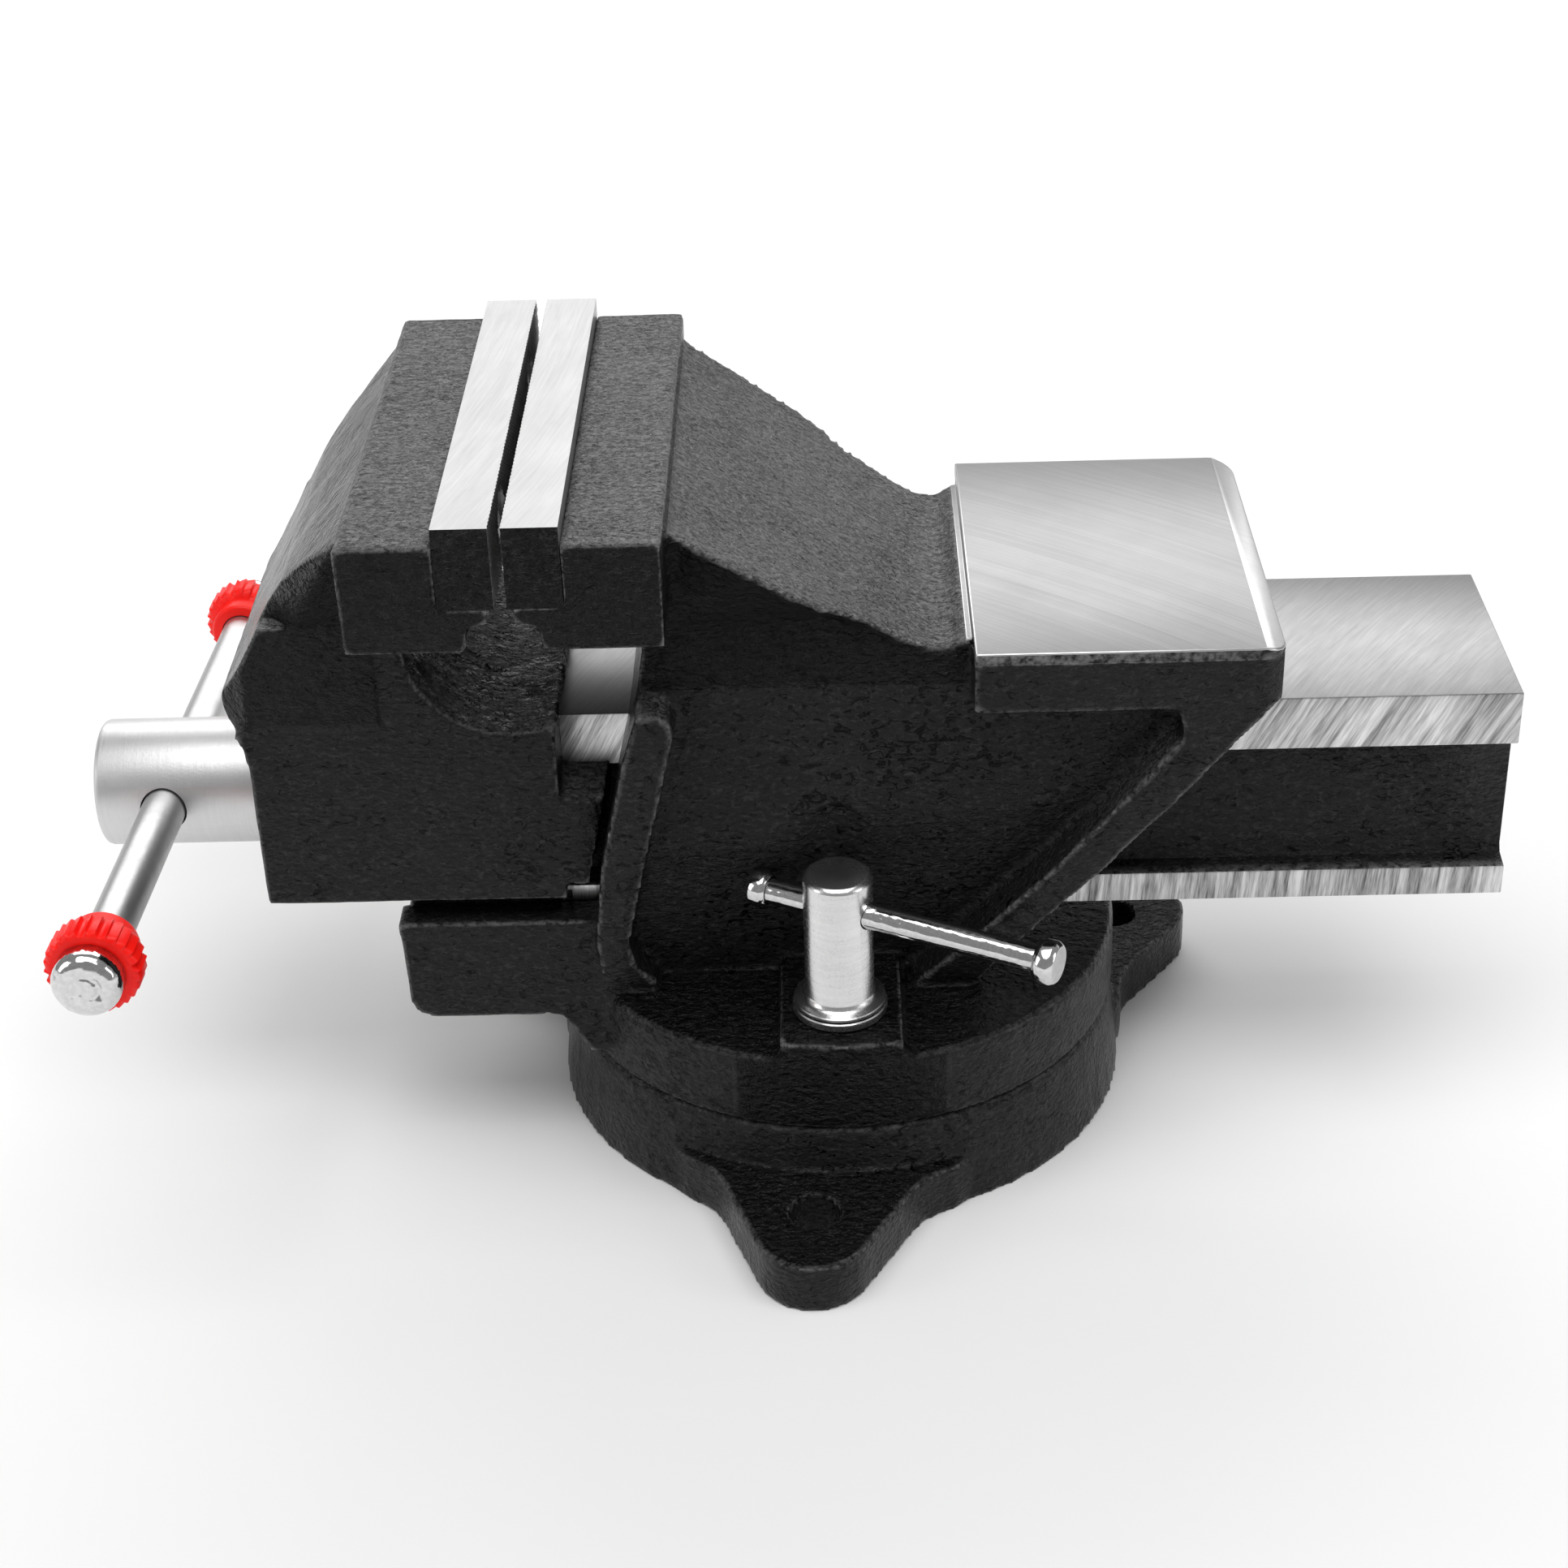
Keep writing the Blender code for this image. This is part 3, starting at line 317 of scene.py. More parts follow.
def milled(name, level, centre, spread=0.05, roughness=0.36):
    """Ground steel with fine sanding arcs round a far centre, given in millimetres."""
    t = Tree(name)
    offset = t.add("ShaderNodeVectorMath", operation="SUBTRACT")
    t.feed(offset.inputs[0], t.position)
    offset.inputs[1].default_value = [c * MM for c in centre]
    length = t.add("ShaderNodeVectorMath", operation="LENGTH")
    t.feed(length.inputs[0], offset.outputs[0])
    ring = t.add("ShaderNodeCombineXYZ")
    t.feed(ring.inputs[0], length.outputs["Value"])
    drift = [t.math("MULTIPLY", t.part(t.position, index), 0.03) for index in (0, 1)]
    along = t.math("ADD", drift[0], drift[1])
    t.feed(ring.inputs[1], along)
    scratches = t.noise(1500, 3.0, 0.7, ring.outputs[0])
    bands = t.noise(260, 2.0, 0.6, ring.outputs[0])
    cloud = t.noise(28, 4.0, 0.6)
    tone = t.math("ADD", t.math("MULTIPLY", scratches, 0.55), t.math("MULTIPLY", bands, 0.2))
    tone = t.math("ADD", tone, t.math("MULTIPLY", cloud, 0.35))
    colour = t.mix(t.remap(tone, 0.3, 0.8), grey(level - spread), grey(level + spread))
    rough = t.remap(tone, 0.3, 0.8, roughness + 0.07, roughness - 0.05)
    normal = t.bump(scratches, 0.045, 0.8)
    return t.finish(colour, rough, normal, metallic=1.0)


def sawn(name, level, turn, spread=0.12, scale=700):
    """Coarsely ground steel with straight lines across it, at an angle about Y."""
    t = Tree(name)
    lined = t.stretch((1.0, 0.2, 0.06), (0, turn, 0))
    lines = t.noise(scale, 4.0, 0.8, lined)
    wide = t.noise(scale * 0.3, 2.0, 0.6, lined)
    cloud = t.noise(40, 3.0)
    tone = t.math("ADD", t.math("MULTIPLY", lines, 0.7), t.math("MULTIPLY", wide, 0.4))
    tone = t.math("ADD", tone, t.math("MULTIPLY", cloud, 0.15))
    colour = t.mix(t.remap(tone, 0.50, 0.75), grey(level - spread), grey(level + spread))
    rough = t.remap(tone, 0.4, 0.8, 0.42, 0.28)
    normal = t.bump(lines, 0.16, 0.8)
    return t.finish(colour, rough, normal, metallic=1.0)


def turned_steel(name, level, roughness, axis, line=900, grain=0.04):
    """Steel turned on a lathe: fine rings round one of the object's axes."""
    t = Tree(name)
    scale = [0.06, 0.06, 0.06]
    scale["XYZ".index(axis)] = 1.0
    rings = t.noise(line, 3.0, 0.7, t.stretch(scale))
    specks = t.noise(1300, 2.0, 0.6)
    smears = t.noise(60, 4.0, 0.6)
    tone = t.math("ADD", t.math("MULTIPLY", rings, 0.5), t.math("MULTIPLY", specks, 0.25))
    tone = t.math("ADD", tone, t.math("MULTIPLY", smears, 0.35))
    colour = t.mix(t.remap(tone, 0.35, 0.8), grey(level - 2 * grain), grey(level + grain))
    rough = t.remap(tone, 0.35, 0.8, roughness + 0.08, roughness - 0.05)
    normal = t.bump(t.math("ADD", rings, t.math("MULTIPLY", specks, 0.8)), 0.05, 0.7)
    return t.finish(colour, rough, normal, metallic=1.0)


def polished(name, level, roughness):
    """Hammered or pressed bright steel with small dents."""
    t = Tree(name)
    dents = t.remap(t.cells(420, smooth=0.7), 0.2, 0.7)
    specks = t.noise(900, 3.0, 0.6)
    colour = t.mix(t.remap(specks, 0.35, 0.65), grey(level - 0.06), grey(level + 0.05))
    rough = t.remap(specks, 0.3, 0.7, roughness + 0.06, roughness - 0.04)
    height = t.math("ADD", t.math("MULTIPLY", dents, 0.7), t.math("MULTIPLY", specks, 0.3))
    normal = t.bump(height, 0.12, 0.6)
    return t.finish(colour, rough, normal, metallic=1.0)


def red_plastic():
    t = Tree("red_plastic")
    grain = t.noise(900, 3.0, 0.6)
    patches = t.noise(120, 3.0)
    colour = t.mix(t.remap(patches, 0.3, 0.7), (0.86, 0.004, 0.002), (1.0, 0.014, 0.008))
    rough = t.remap(grain, 0.3, 0.7, 0.42, 0.30)
    normal = t.bump(grain, 0.08, 0.6)
    return t.finish(colour, rough, normal, specular=0.25)


def cast_iron():
    t = Tree("cast_iron")
    grain = t.noise(700, 4.0, 0.65)
    stains = t.noise(60, 4.0)
    colour = t.mix(t.remap(stains, 0.35, 0.65), (0.06, 0.058, 0.056), (0.13, 0.125, 0.12))
    normal = t.bump(grain, 0.25, 0.8)
    return t.finish(colour, t.remap(grain, 0.3, 0.7, 0.65, 0.5), normal, metallic=0.6)


def painted_end():
    """The same black paint over the sawn ends of the jaw plates."""
    t = Tree("painted_end")
    flat = leather_space(t)
    grain = t.noise(430, 3.0, 0.65, flat, 0.4)
    wrinkles = t.remap(t.noise(300, 3.0, 0.6, flat, 1.2), 0.36, 0.46)
    height = t.math("ADD", t.math("MULTIPLY", grain, 3.2), t.math("MULTIPLY", wrinkles, 0.2))
    # painted glints: lighter streaks along the grain
    glint_streaks = t.remap(t.noise(520, 4.0, 0.7, flat, 0.9), 0.52, 0.64)
    # painted shade: the wrinkle creases are near black
    colour = t.mix(t.math("MULTIPLY", glint_streaks, wrinkles), grey(CREASE_SHADE_LEVEL), grey(0.016))
    roughness = t.remap(grain, 0.3, 0.7, 0.22, 0.14)
    return t.finish(colour, roughness, t.bump(height, 1.0), specular=PAINT_SPECULAR)


MATERIALS = {
    "enamel": enamel(),
    "anvil": milled("anvil_steel", 0.295, (-260, -420, 160)),
    "slide_top": milled("slide_top_steel", 0.285, (520, -260, 135), 0.07),
    "strip": milled("strip_steel", 0.35, (-600, 100, 209), 0.04),
    "upper_band": sawn("upper_band_steel", 0.50, 28.0, 0.30, 420),
    "lower_band": sawn("lower_band_steel", 0.39, 4.0, 0.28, 520),
    "edge": milled("edge_steel", 0.62, (300, 900, 0), 0.08, 0.3),
    "head": turned_steel("head_steel", 0.66, 0.40, "X", 900, 0.02),
    "bar": turned_steel("bar_steel", 0.60, 0.40, "Y", 500, 0.025),
    "nut": turned_steel("nut_steel", 0.72, 0.24, "Z", 700),
    "thread": turned_steel("thread_steel", 0.42, 0.32, "X", 400),
    "polished": polished("polished_steel", 0.66, 0.09),
    "zinc": polished("zinc_steel", 0.50, 0.30),
    "red": red_plastic(),
    "iron": cast_iron(),
    "painted_end": painted_end(),
}


# ---------------------------------------------------------------- mesh helpers

def new_object(name, bm, *materials, matrix=None):
    """A mesh object from a bmesh in millimetres, placed by a matrix in millimetres."""
    if matrix is not None:
        bm.transform(matrix)
    bm.transform(Matrix.Scale(MM, 4))
    mesh = bpy.data.meshes.new(name)
    bm.to_mesh(mesh)
    bm.free()
    obj = bpy.data.objects.new(name, mesh)
    bpy.context.scene.collection.objects.link(obj)
    for key in materials:
        mesh.materials.append(MATERIALS[key])
    return obj


def smooth(obj, angle=35.0):
    obj.data.shade_smooth()
    obj.data.set_sharp_from_angle(angle=math.radians(angle))


def apply_modifiers(obj):
    bpy.context.view_layer.update()
    evaluated = obj.evaluated_get(bpy.context.evaluated_depsgraph_get())
    mesh = bpy.data.meshes.new_from_object(evaluated)
    old = obj.data
    obj.modifiers.clear()
    obj.data = mesh
    mesh.name = obj.name
    bpy.data.meshes.remove(old)


def bevel(obj, width, segments=2, angle=40.0):
    modifier = obj.modifiers.new("bevel", "BEVEL")
    modifier.width = width * MM
    modifier.segments = segments
    modifier.limit_method = "ANGLE"
    modifier.angle_limit = math.radians(angle)


def subtract(obj, *cutters):
    for cutter in cutters:
        modifier = obj.modifiers.new("cut", "BOOLEAN")
        modifier.operation = "DIFFERENCE"
        modifier.object = cutter
        modifier.solver = "EXACT"
    apply_modifiers(obj)
    for cutter in cutters:
        bpy.data.objects.remove(cutter)


def stands_for(obj, slot, *nodes):
    """obj takes the place of these CAD nodes and moves with their body."""
    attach(obj, BODY_OF[nodes[0]])
    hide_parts(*nodes)
    return obj


def lathe(profile, axis="Z", segments=96, radius_at=None):
    """Solid of revolution; profile points are (radius, place along the axis)."""
    bm = bmesh.new()
    rings = []
    for index, (r, along) in enumerate(profile):
        if r < 1e-6:
            rings.append([bm.verts.new((0, 0, along))])
            continue
        ring = []
        for k in range(segments):
            turn = 2 * math.pi * k / segments
            real = radius_at(index, turn, r) if radius_at else r
            ring.append(bm.verts.new((real * math.cos(turn), real * math.sin(turn), along)))
        rings.append(ring)
    closed = len(rings[0]) > 1 and len(rings[-1]) > 1
    pairs = list(zip(rings, rings[1:]))
    if closed:
        pairs.append((rings[-1], rings[0]))
    for low, high in pairs:
        if len(low) == len(high) == 1:
            continue
        for k in range(segments):
            n = (k + 1) % segments
            if len(low) == 1:
                bm.faces.new((low[0], high[n], high[k]))
            elif len(high) == 1:
                bm.faces.new((low[k], low[n], high[0]))
            else:
                bm.faces.new((low[k], low[n], high[n], high[k]))
    if axis == "X":
        bm.transform(Matrix.Rotation(math.pi / 2, 4, "Y"))
    elif axis == "Y":
        bm.transform(Matrix.Rotation(-math.pi / 2, 4, "X"))
    bmesh.ops.recalc_face_normals(bm, faces=bm.faces)
    return bm


def rod_tool(radius, half, axis, segments):
    """Solid rod for cutting a round hole."""
    return lathe([(0, -half), (radius, -half), (radius, half), (0, half)], axis, segments)


def place(x, y, z, *turns):
    """Matrix that turns by (degrees, axis) steps, first to last, then moves."""
    matrix = Matrix.Identity(4)
    for degrees, axis in turns:
        matrix = Matrix.Rotation(math.radians(degrees), 4, axis) @ matrix
    return Matrix.Translation((x, y, z)) @ matrix


def prism_x(outline, start, end):
    """Solid with a (y, z) outline between two places along X."""
    bm = bmesh.new()
    low = [bm.verts.new((start, y, z)) for y, z in outline]
    high = [bm.verts.new((end, y, z)) for y, z in outline]
    bm.faces.new(low)
    bm.faces.new(high)
    for k in range(len(low)):
        n = (k + 1) % len(low)
        bm.faces.new((low[k], low[n], high[n], high[k]))
    bmesh.ops.recalc_face_normals(bm, faces=bm.faces)
    return bm


def noise3(point, size, seed=0.0):
    """Smooth noise from -1 to 1 whose features are about size millimetres."""
    return noise.noise(Vector(point) / size + Vector((seed, 2 * seed, 3 * seed)))


# ---------------------------------------------------------------- castings

def near(value, low, high, margin):
    """1 inside a range, falling to 0 within a margin outside it."""
    outside = np.maximum(low - value, value - high)
    return np.clip(1 - outside / margin, 0, 1)


def casting(node, name, voxel, shape, keep_x=None):
    """Remeshes a CAD casting so that its edges round off, then roughens its skin.

    shape(points, normals) returns the moved points and the coarse mask, which roughens the bump and darkens
    the enamel's colour; keep_x drops what lies beyond it.
    """
    bm = bmesh.new()
    bm.from_mesh(NODES[node].data)
    bm.transform(Matrix.Scale(1 / MM, 4))
    if keep_x is not None:
        bmesh.ops.remove_doubles(bm, verts=bm.verts, dist=0.001)
        cut_edges = bmesh.ops.bisect_plane(
            bm, geom=bm.verts[:] + bm.edges[:] + bm.faces[:], dist=0.0001,
            plane_co=(keep_x, 0, 0), plane_no=(1, 0, 0), clear_outer=True)["geom_cut"]
        bmesh.ops.holes_fill(bm, edges=[e for e in cut_edges if isinstance(e, bmesh.types.BMEdge)], sides=0)
    obj = new_object(name, bm, "enamel")
    remesh = obj.modifiers.new("remesh", "REMESH")
    remesh.mode = "VOXEL"
    remesh.voxel_size = voxel * MM
    soften = obj.modifiers.new("soften", "SMOOTH")
    soften.factor = 0.5
    soften.iterations = 1
    apply_modifiers(obj)
    mesh = obj.data
    count = len(mesh.vertices)
    points = np.empty(count * 3, np.float32)
    normals = np.empty(count * 3, np.float32)
    mesh.vertices.foreach_get("co", points)
    mesh.vertex_normals.foreach_get("vector", normals)
    points = points.reshape(-1, 3).astype(float) / MM
    normals = normals.reshape(-1, 3).astype(float)
    points, coarse = shape(points, normals)
    mesh.vertices.foreach_set("co", (points * MM).astype(np.float32).ravel())
    layer = mesh.attributes.new("coarse", "FLOAT", "POINT")
    layer.data.foreach_set("value", coarse.astype(np.float32))
    mesh.update()
    mesh.shade_smooth()
    return obj


def sand_cast(points, normals, amount):
    """Moves points along their normals by the waviness and small lumps of a casting."""
    wave = np.array([noise3(p, 22.0, 1.7) for p in points])
    lumps = np.array([noise3(p, 5.0, 4.1) for p in points])
    return points + normals * (amount * (0.16 * wave + 0.11 * lumps))[:, None]


def join_meshes(obj, *others):
    """Adds the faces of others, with their materials, to obj."""
    bm = bmesh.new()
    bm.from_mesh(obj.data)
    for other in others:
        apply_modifiers(other)
        shift = len(obj.data.materials)
        for material in other.data.materials:
            obj.data.materials.append(material)
        before = len(bm.faces)
        bm.from_mesh(other.data)
        bm.faces.ensure_lookup_table()
        for face in bm.faces[before:]:
            face.material_index += shift
        bpy.data.objects.remove(other)
    bm.to_mesh(obj.data)
    bm.free()
    obj.data.update()
    return obj


# ---------------------------------------------------------------- front jaw

def shape_front(points, normals):
    x, y, z = points.T
    on_seat = near(x, -98, -60, 0.5) * near(z, 186.5, 215, 0.5)
    free = 1 - on_seat
    moved = sand_cast(points, normals, free)
    away = points[:, [0, 2]] - np.array([THROAT.x, THROAT.z])
    radius = np.hypot(away[:, 0], away[:, 1])
    in_throat = near(radius, THROAT_R - 2.5, THROAT_R + 2.5, 1.0) * near(z, 0, 168, 2)
    in_throat *= near(np.abs(y), 0, 45, 0.5)
    ridges = np.array([noise3((p[0] * 0.5, p[1] * 2.2, p[2] * 0.5), 4.0, 9.0) for p in points])
    moved += normals * (in_throat * ridges * 0.7)[:, None]
    end_face = near(np.abs(y), 74.2, 80, 0.6)
    lean = near(normals[:, 2], -0.9, 0.35, 0.2) * near(z, 140, 230, 2) * near(x, -170, -119, 1)
    fillet = 0.6 * np.clip((x + 72) / 8, 0, 1) * near(z, 80, 122, 2) * near(np.abs(y), 26, 50, 1)
    # the coarse mask roughens the bump and paints shade in the enamel on these faces, which lean away from
    # the light
    coarse = np.clip(end_face + in_throat + 0.8 * lean + fillet, 0, 1)
    stub = (x > FRONT_WALL_REAR + 0.3) & ((z > UPPER_BAND_BOTTOM + 0.9) | (z < 88.0))
    limit = SLIDE_HALF - STUB_INSET
    moved[:, 1] = np.where(stub, np.clip(moved[:, 1], -limit, limit), moved[:, 1])
    inside = np.clip(moved[:, 2], SLIDE_BOTTOM + STUB_INSET, SLIDE_TOP - STUB_INSET)
    moved[:, 2] = np.where(x > FRONT_WALL_REAR + 0.3, inside, moved[:, 2])
    hollow = (x > FRONT_WALL_REAR + 0.3) & (np.abs(y) < CAVITY_HALF + 1)
    moved[:, 1] += np.where(hollow, np.sign(y) * STUB_INSET, 0)
    moved[:, 2] += np.where(hollow & (z > CAVITY_TOP - 2) & (z < CAVITY_TOP + 2), STUB_INSET, 0)
    return moved, coarse


def slide():
    """Machined H-section with a hollow middle; each face has its own finish."""
    right = [
        (CAVITY_HALF, SLIDE_BOTTOM), (SLIDE_HALF, SLIDE_BOTTOM), (SLIDE_HALF, LOWER_BAND_TOP),
        (WEB_HALF + 1.2, LOWER_BAND_TOP + 1.0), (WEB_HALF, LOWER_BAND_TOP + 3.0),
        (WEB_HALF, UPPER_BAND_BOTTOM - 3.6), (WEB_HALF + 1.4, UPPER_BAND_BOTTOM - 1.5),
        (SLIDE_HALF, UPPER_BAND_BOTTOM), (SLIDE_HALF, SLIDE_TOP),
    ]
    left = [(-y, z) for y, z in reversed(right)]
    outline = right + left + [(-CAVITY_HALF, CAVITY_TOP), (CAVITY_HALF, CAVITY_TOP)]
    bm = prism_x(outline, FRONT_WALL_REAR - 3, SLIDE_END)
    for face in bm.faces:
        centre = face.calc_center_median()
        n = face.normal
        if n.z > 0.9 and centre.z > SLIDE_TOP - 1:
            face.material_index = 1
        elif abs(n.y) > 0.9 and abs(centre.y) > SLIDE_HALF - 1 and centre.z > 100:
            face.material_index = 2
        elif abs(n.y) > 0.9 and abs(centre.y) > SLIDE_HALF - 1:
            face.material_index = 3
        elif n.z < -0.9 and centre.z < SLIDE_BOTTOM + 1:
            face.material_index = 1
    obj = new_object("slide", bm, "enamel", "slide_top", "upper_band", "lower_band")
    bevel(obj, 0.45, 2, 60)
    return obj


def front_jaw():
    body = casting("front_jaw_body", "front_jaw", 1.1, shape_front, keep_x=FILLET_END)
    bar = slide()
    apply_modifiers(bar)
    smooth(bar)
    join_meshes(body, bar)
    return stands_for(body, "black_enamel", "front_jaw_body")


# ---------------------------------------------------------------- rear jaw

def shape_rear(points, normals):
    x, y, z = points.T
    seat = near(x, -110, -65.5, 0.3) * near(z, 186.5, 215, 0.3)
    channel = near(np.abs(y), 0, 36.5, 0.6) * near(z, 71, 136.5, 0.6)
    anvil = near(x, ANVIL_FRONT - 0.5, ANVIL_REAR + 1, 0.5) * near(z, ANVIL_TOP - 2.5, 180, 0.5)
    below = near(z, 0, 30.5, 0.5)
    pad = near(z, 50, 58, 0.3) * near(np.abs(np.hypot(x, np.abs(y) - LOCK_Y)), 0, 16, 0.5)
    free = 1 - np.clip(seat + channel + anvil + below + pad, 0, 1)
    moved = sand_cast(points, normals, free)
    paint_edge = np.array([noise3(p, 2.2, 3.0) for p in points])
    under_skin = ANVIL_TOP - ANVIL_SKIN + 0.3 + 0.2 * paint_edge
    on_anvil = (x > ANVIL_FRONT - 0.8) & (z > ANVIL_TOP - 8)
    moved[:, 2] = np.where(on_anvil, np.minimum(moved[:, 2], under_skin), moved[:, 2])
    end_face = near(np.abs(y), 74.2, 80, 0.6)
    lean = near(normals[:, 2], -0.9, 0.3, 0.15) * near(z, 150, 230, 2) * near(x, -60, 34, 1)
    flange_top = near(normals[:, 2], 0.75, 1, 0.1) * near(z, 49, 60, 1)
    # the coarse mask roughens the bump and paints shade in the enamel on these faces, which lean away from
    # the light
    coarse = np.clip(end_face + 0.8 * lean + flange_top, 0, 1)
    return moved, coarse


def anvil_skin():
    """Ground top of the anvil, with its bevelled rear edge."""
    low = ANVIL_TOP - ANVIL_SKIN
    bm = bmesh.new()
    bm.from_mesh(NODES["rear_jaw_body"].data)
    bm.transform(Matrix.Scale(1 / MM, 4))
    bmesh.ops.remove_doubles(bm, verts=bm.verts, dist=0.001)
    for co, normal in (((0, 0, low), (0, 0, -1)), ((ANVIL_FRONT - 2, 0, 0), (-1, 0, 0))):
        edges = bmesh.ops.bisect_plane(
            bm, geom=bm.verts[:] + bm.edges[:] + bm.faces[:], dist=0.0001,
            plane_co=co, plane_no=normal, clear_outer=True)["geom_cut"]
        bmesh.ops.holes_fill(bm, edges=[e for e in edges if isinstance(e, bmesh.types.BMEdge)], sides=0)
    bmesh.ops.dissolve_limit(bm, angle_limit=0.01, verts=bm.verts, edges=bm.edges)
    obj = new_object("anvil_skin", bm, "anvil", "edge", "enamel")
    bevel(obj, 0.5, 2, 35)
    apply_modifiers(obj)
    for face in obj.data.polygons:
        n = face.normal
        if n.z > 0.97:
            face.material_index = 0
        elif n.z > 0.25 and face.center.z > (ANVIL_TOP - 2.5) * MM:
            face.material_index = 1
        else:
            face.material_index = 2
    smooth(obj, 30)
    return obj


def rear_jaw():
    body = casting("rear_jaw_body", "rear_jaw", 1.25, shape_rear)
    join_meshes(body, anvil_skin())
    return stands_for(body, "black_enamel", "rear_jaw_body")


def shape_base(points, normals):
    x, y, z = points.T
    radius = np.hypot(x, y)
    fixed = near(radius, 0, 77, 1) + near(z, -1, 0.6, 0.3)
    moved = sand_cast(points, normals, 1 - np.clip(fixed, 0, 1))
    # coarse lug tops: rougher bump and a darker enamel colour
    lug_top = near(normals[:, 2], 0.8, 1, 0.1) * near(radius, 82, 130, 2)
    return moved, np.clip(lug_top, 0, 1)


def base():
    body = casting("swivel_base", "base", 1.2, shape_base)
    return stands_for(body, "black_enamel", "swivel_base")


# ---------------------------------------------------------------- jaw plates

def tooth(y, z):
    """Depth of the diamond serrations below the plate's face, from 0 to 1."""
    a = abs(((y + 0.6 * z) / TOOTH_PITCH) % 1 - 0.5) * 2
    b = abs(((y - 0.6 * z) / TOOTH_PITCH) % 1 - 0.5) * 2
    return min(1.0, a * 0.6 + b * 0.6)


def jaw_plate(label, side):
    """Plate with its serrated face towards the gap; side is -1 for the front jaw."""
    bm = bmesh.new()
    columns = 428
    rows = 44
    face = JAW_OPENING / 2
    back = face + PLATE_THICKNESS + SEAT_OVERLAP
    bottom = PLATE_BOTTOM - SEAT_OVERLAP
    grid = []
    for i in range(columns + 1):
        y = -PLATE_HALF + 2 * PLATE_HALF * i / columns
        line = []
        for j in range(rows + 1):
            z = bottom + (PLATE_TOP - bottom) * j / rows
            chip = 0.5 + 0.5 * noise3((0, y, z), 3.0, 5.0 + side)
            depth = TOOTH_DEPTH * tooth(y, z) + 0.15 * chip
            line.append(bm.verts.new((side * (face + depth), y, z)))
        grid.append(line)
    for i in range(columns):
        for j in range(rows):
            bm.faces.new((grid[i][j], grid[i + 1][j], grid[i + 1][j + 1], grid[i][j + 1]))
    rim = ([line[0] for line in grid] + grid[-1][1:] + [line[-1] for line in reversed(grid[:-1])]
           + list(reversed(grid[0][1:-1])))
    rear = [bm.verts.new((side * back, v.co.y, v.co.z)) for v in rim]
    for k in range(len(rim)):
        n = (k + 1) % len(rim)
        bm.faces.new((rim[k], rim[n], rear[n], rear[k]))
    bm.faces.new(rear)
    bmesh.ops.recalc_face_normals(bm, faces=bm.faces)
    obj = new_object(f"{label}_jaw_plate_serrated", bm, "strip", "thread", "painted_end",
                     matrix=place(GAP_X, 0, 0))
    cutters = []
    for y in (-PLATE_SCREW_Y, PLATE_SCREW_Y):
        profile = [(0, -1), (8.5, -1), (8.5, 1.8), (4.3, 6.0), (4.3, 20), (0, 20)]
        tool = lathe(profile, "X", 48)
        turn = ((180, "Z"),) if side < 0 else ()
        pocket_place = place(GAP_X + side * face, y, PLATE_SCREW_Z, *turn)
        cutters.append(new_object("plate_pocket", tool, matrix=pocket_place))
    subtract(obj, *cutters)
    for polygon in obj.data.polygons:
        n = polygon.normal
        if n.z > 0.9:
            polygon.material_index = 0
        elif abs(n.y) > 0.95 and abs(polygon.center.y) > (PLATE_HALF - 0.5) * MM:
            polygon.material_index = 2
        else:
            polygon.material_index = 1
    return stands_for(obj, "jaw_steel", f"{label}_jaw_plate")


# ---------------------------------------------------------------- spindle

HANDLE_PLACE = place(HANDLE_X, 0, SPINDLE_Z, (-HANDLE_TILT, "X"), (-HANDLE_SLANT, "Z"))
HANDLE_SHIFTED = HANDLE_PLACE @ Matrix.Translation((0, HANDLE_SHIFT, 0))


def threaded_rod(start, end):
    """Square-shouldered thread round X between two places."""
    bm = bmesh.new()
    turns = 48
    step = 0.4
    rows = int((end - start) / step)
    grid = []
    for i in range(rows + 1):
        x = start + (end - start) * i / rows
        taper = min(1.0, (x - start) / 4.0, (end - x + 0.01) / 3.0)
        ring = []
        for k in range(turns):
            angle = 2 * math.pi * k / turns
            phase = (x / THREAD_LEAD - k / turns) % 1
            groove = max(0.0, min(1.0, 2.6 - abs(phase - 0.5) * 9))
            r = SPINDLE_R - THREAD_DEPTH * groove * max(0, taper) - (2.0 * max(0, 1 - (end - x) / 2.5))
            ring.append(bm.verts.new((x, r * math.cos(angle), r * math.sin(angle))))
        grid.append(ring)
    for low, high in zip(grid, grid[1:]):
        for k in range(turns):
            n = (k + 1) % turns
            bm.faces.new((low[k], low[n], high[n], high[k]))
    bm.faces.new(grid[0])
    bm.faces.new(grid[-1])
    bmesh.ops.recalc_face_normals(bm, faces=bm.faces)
    return bm


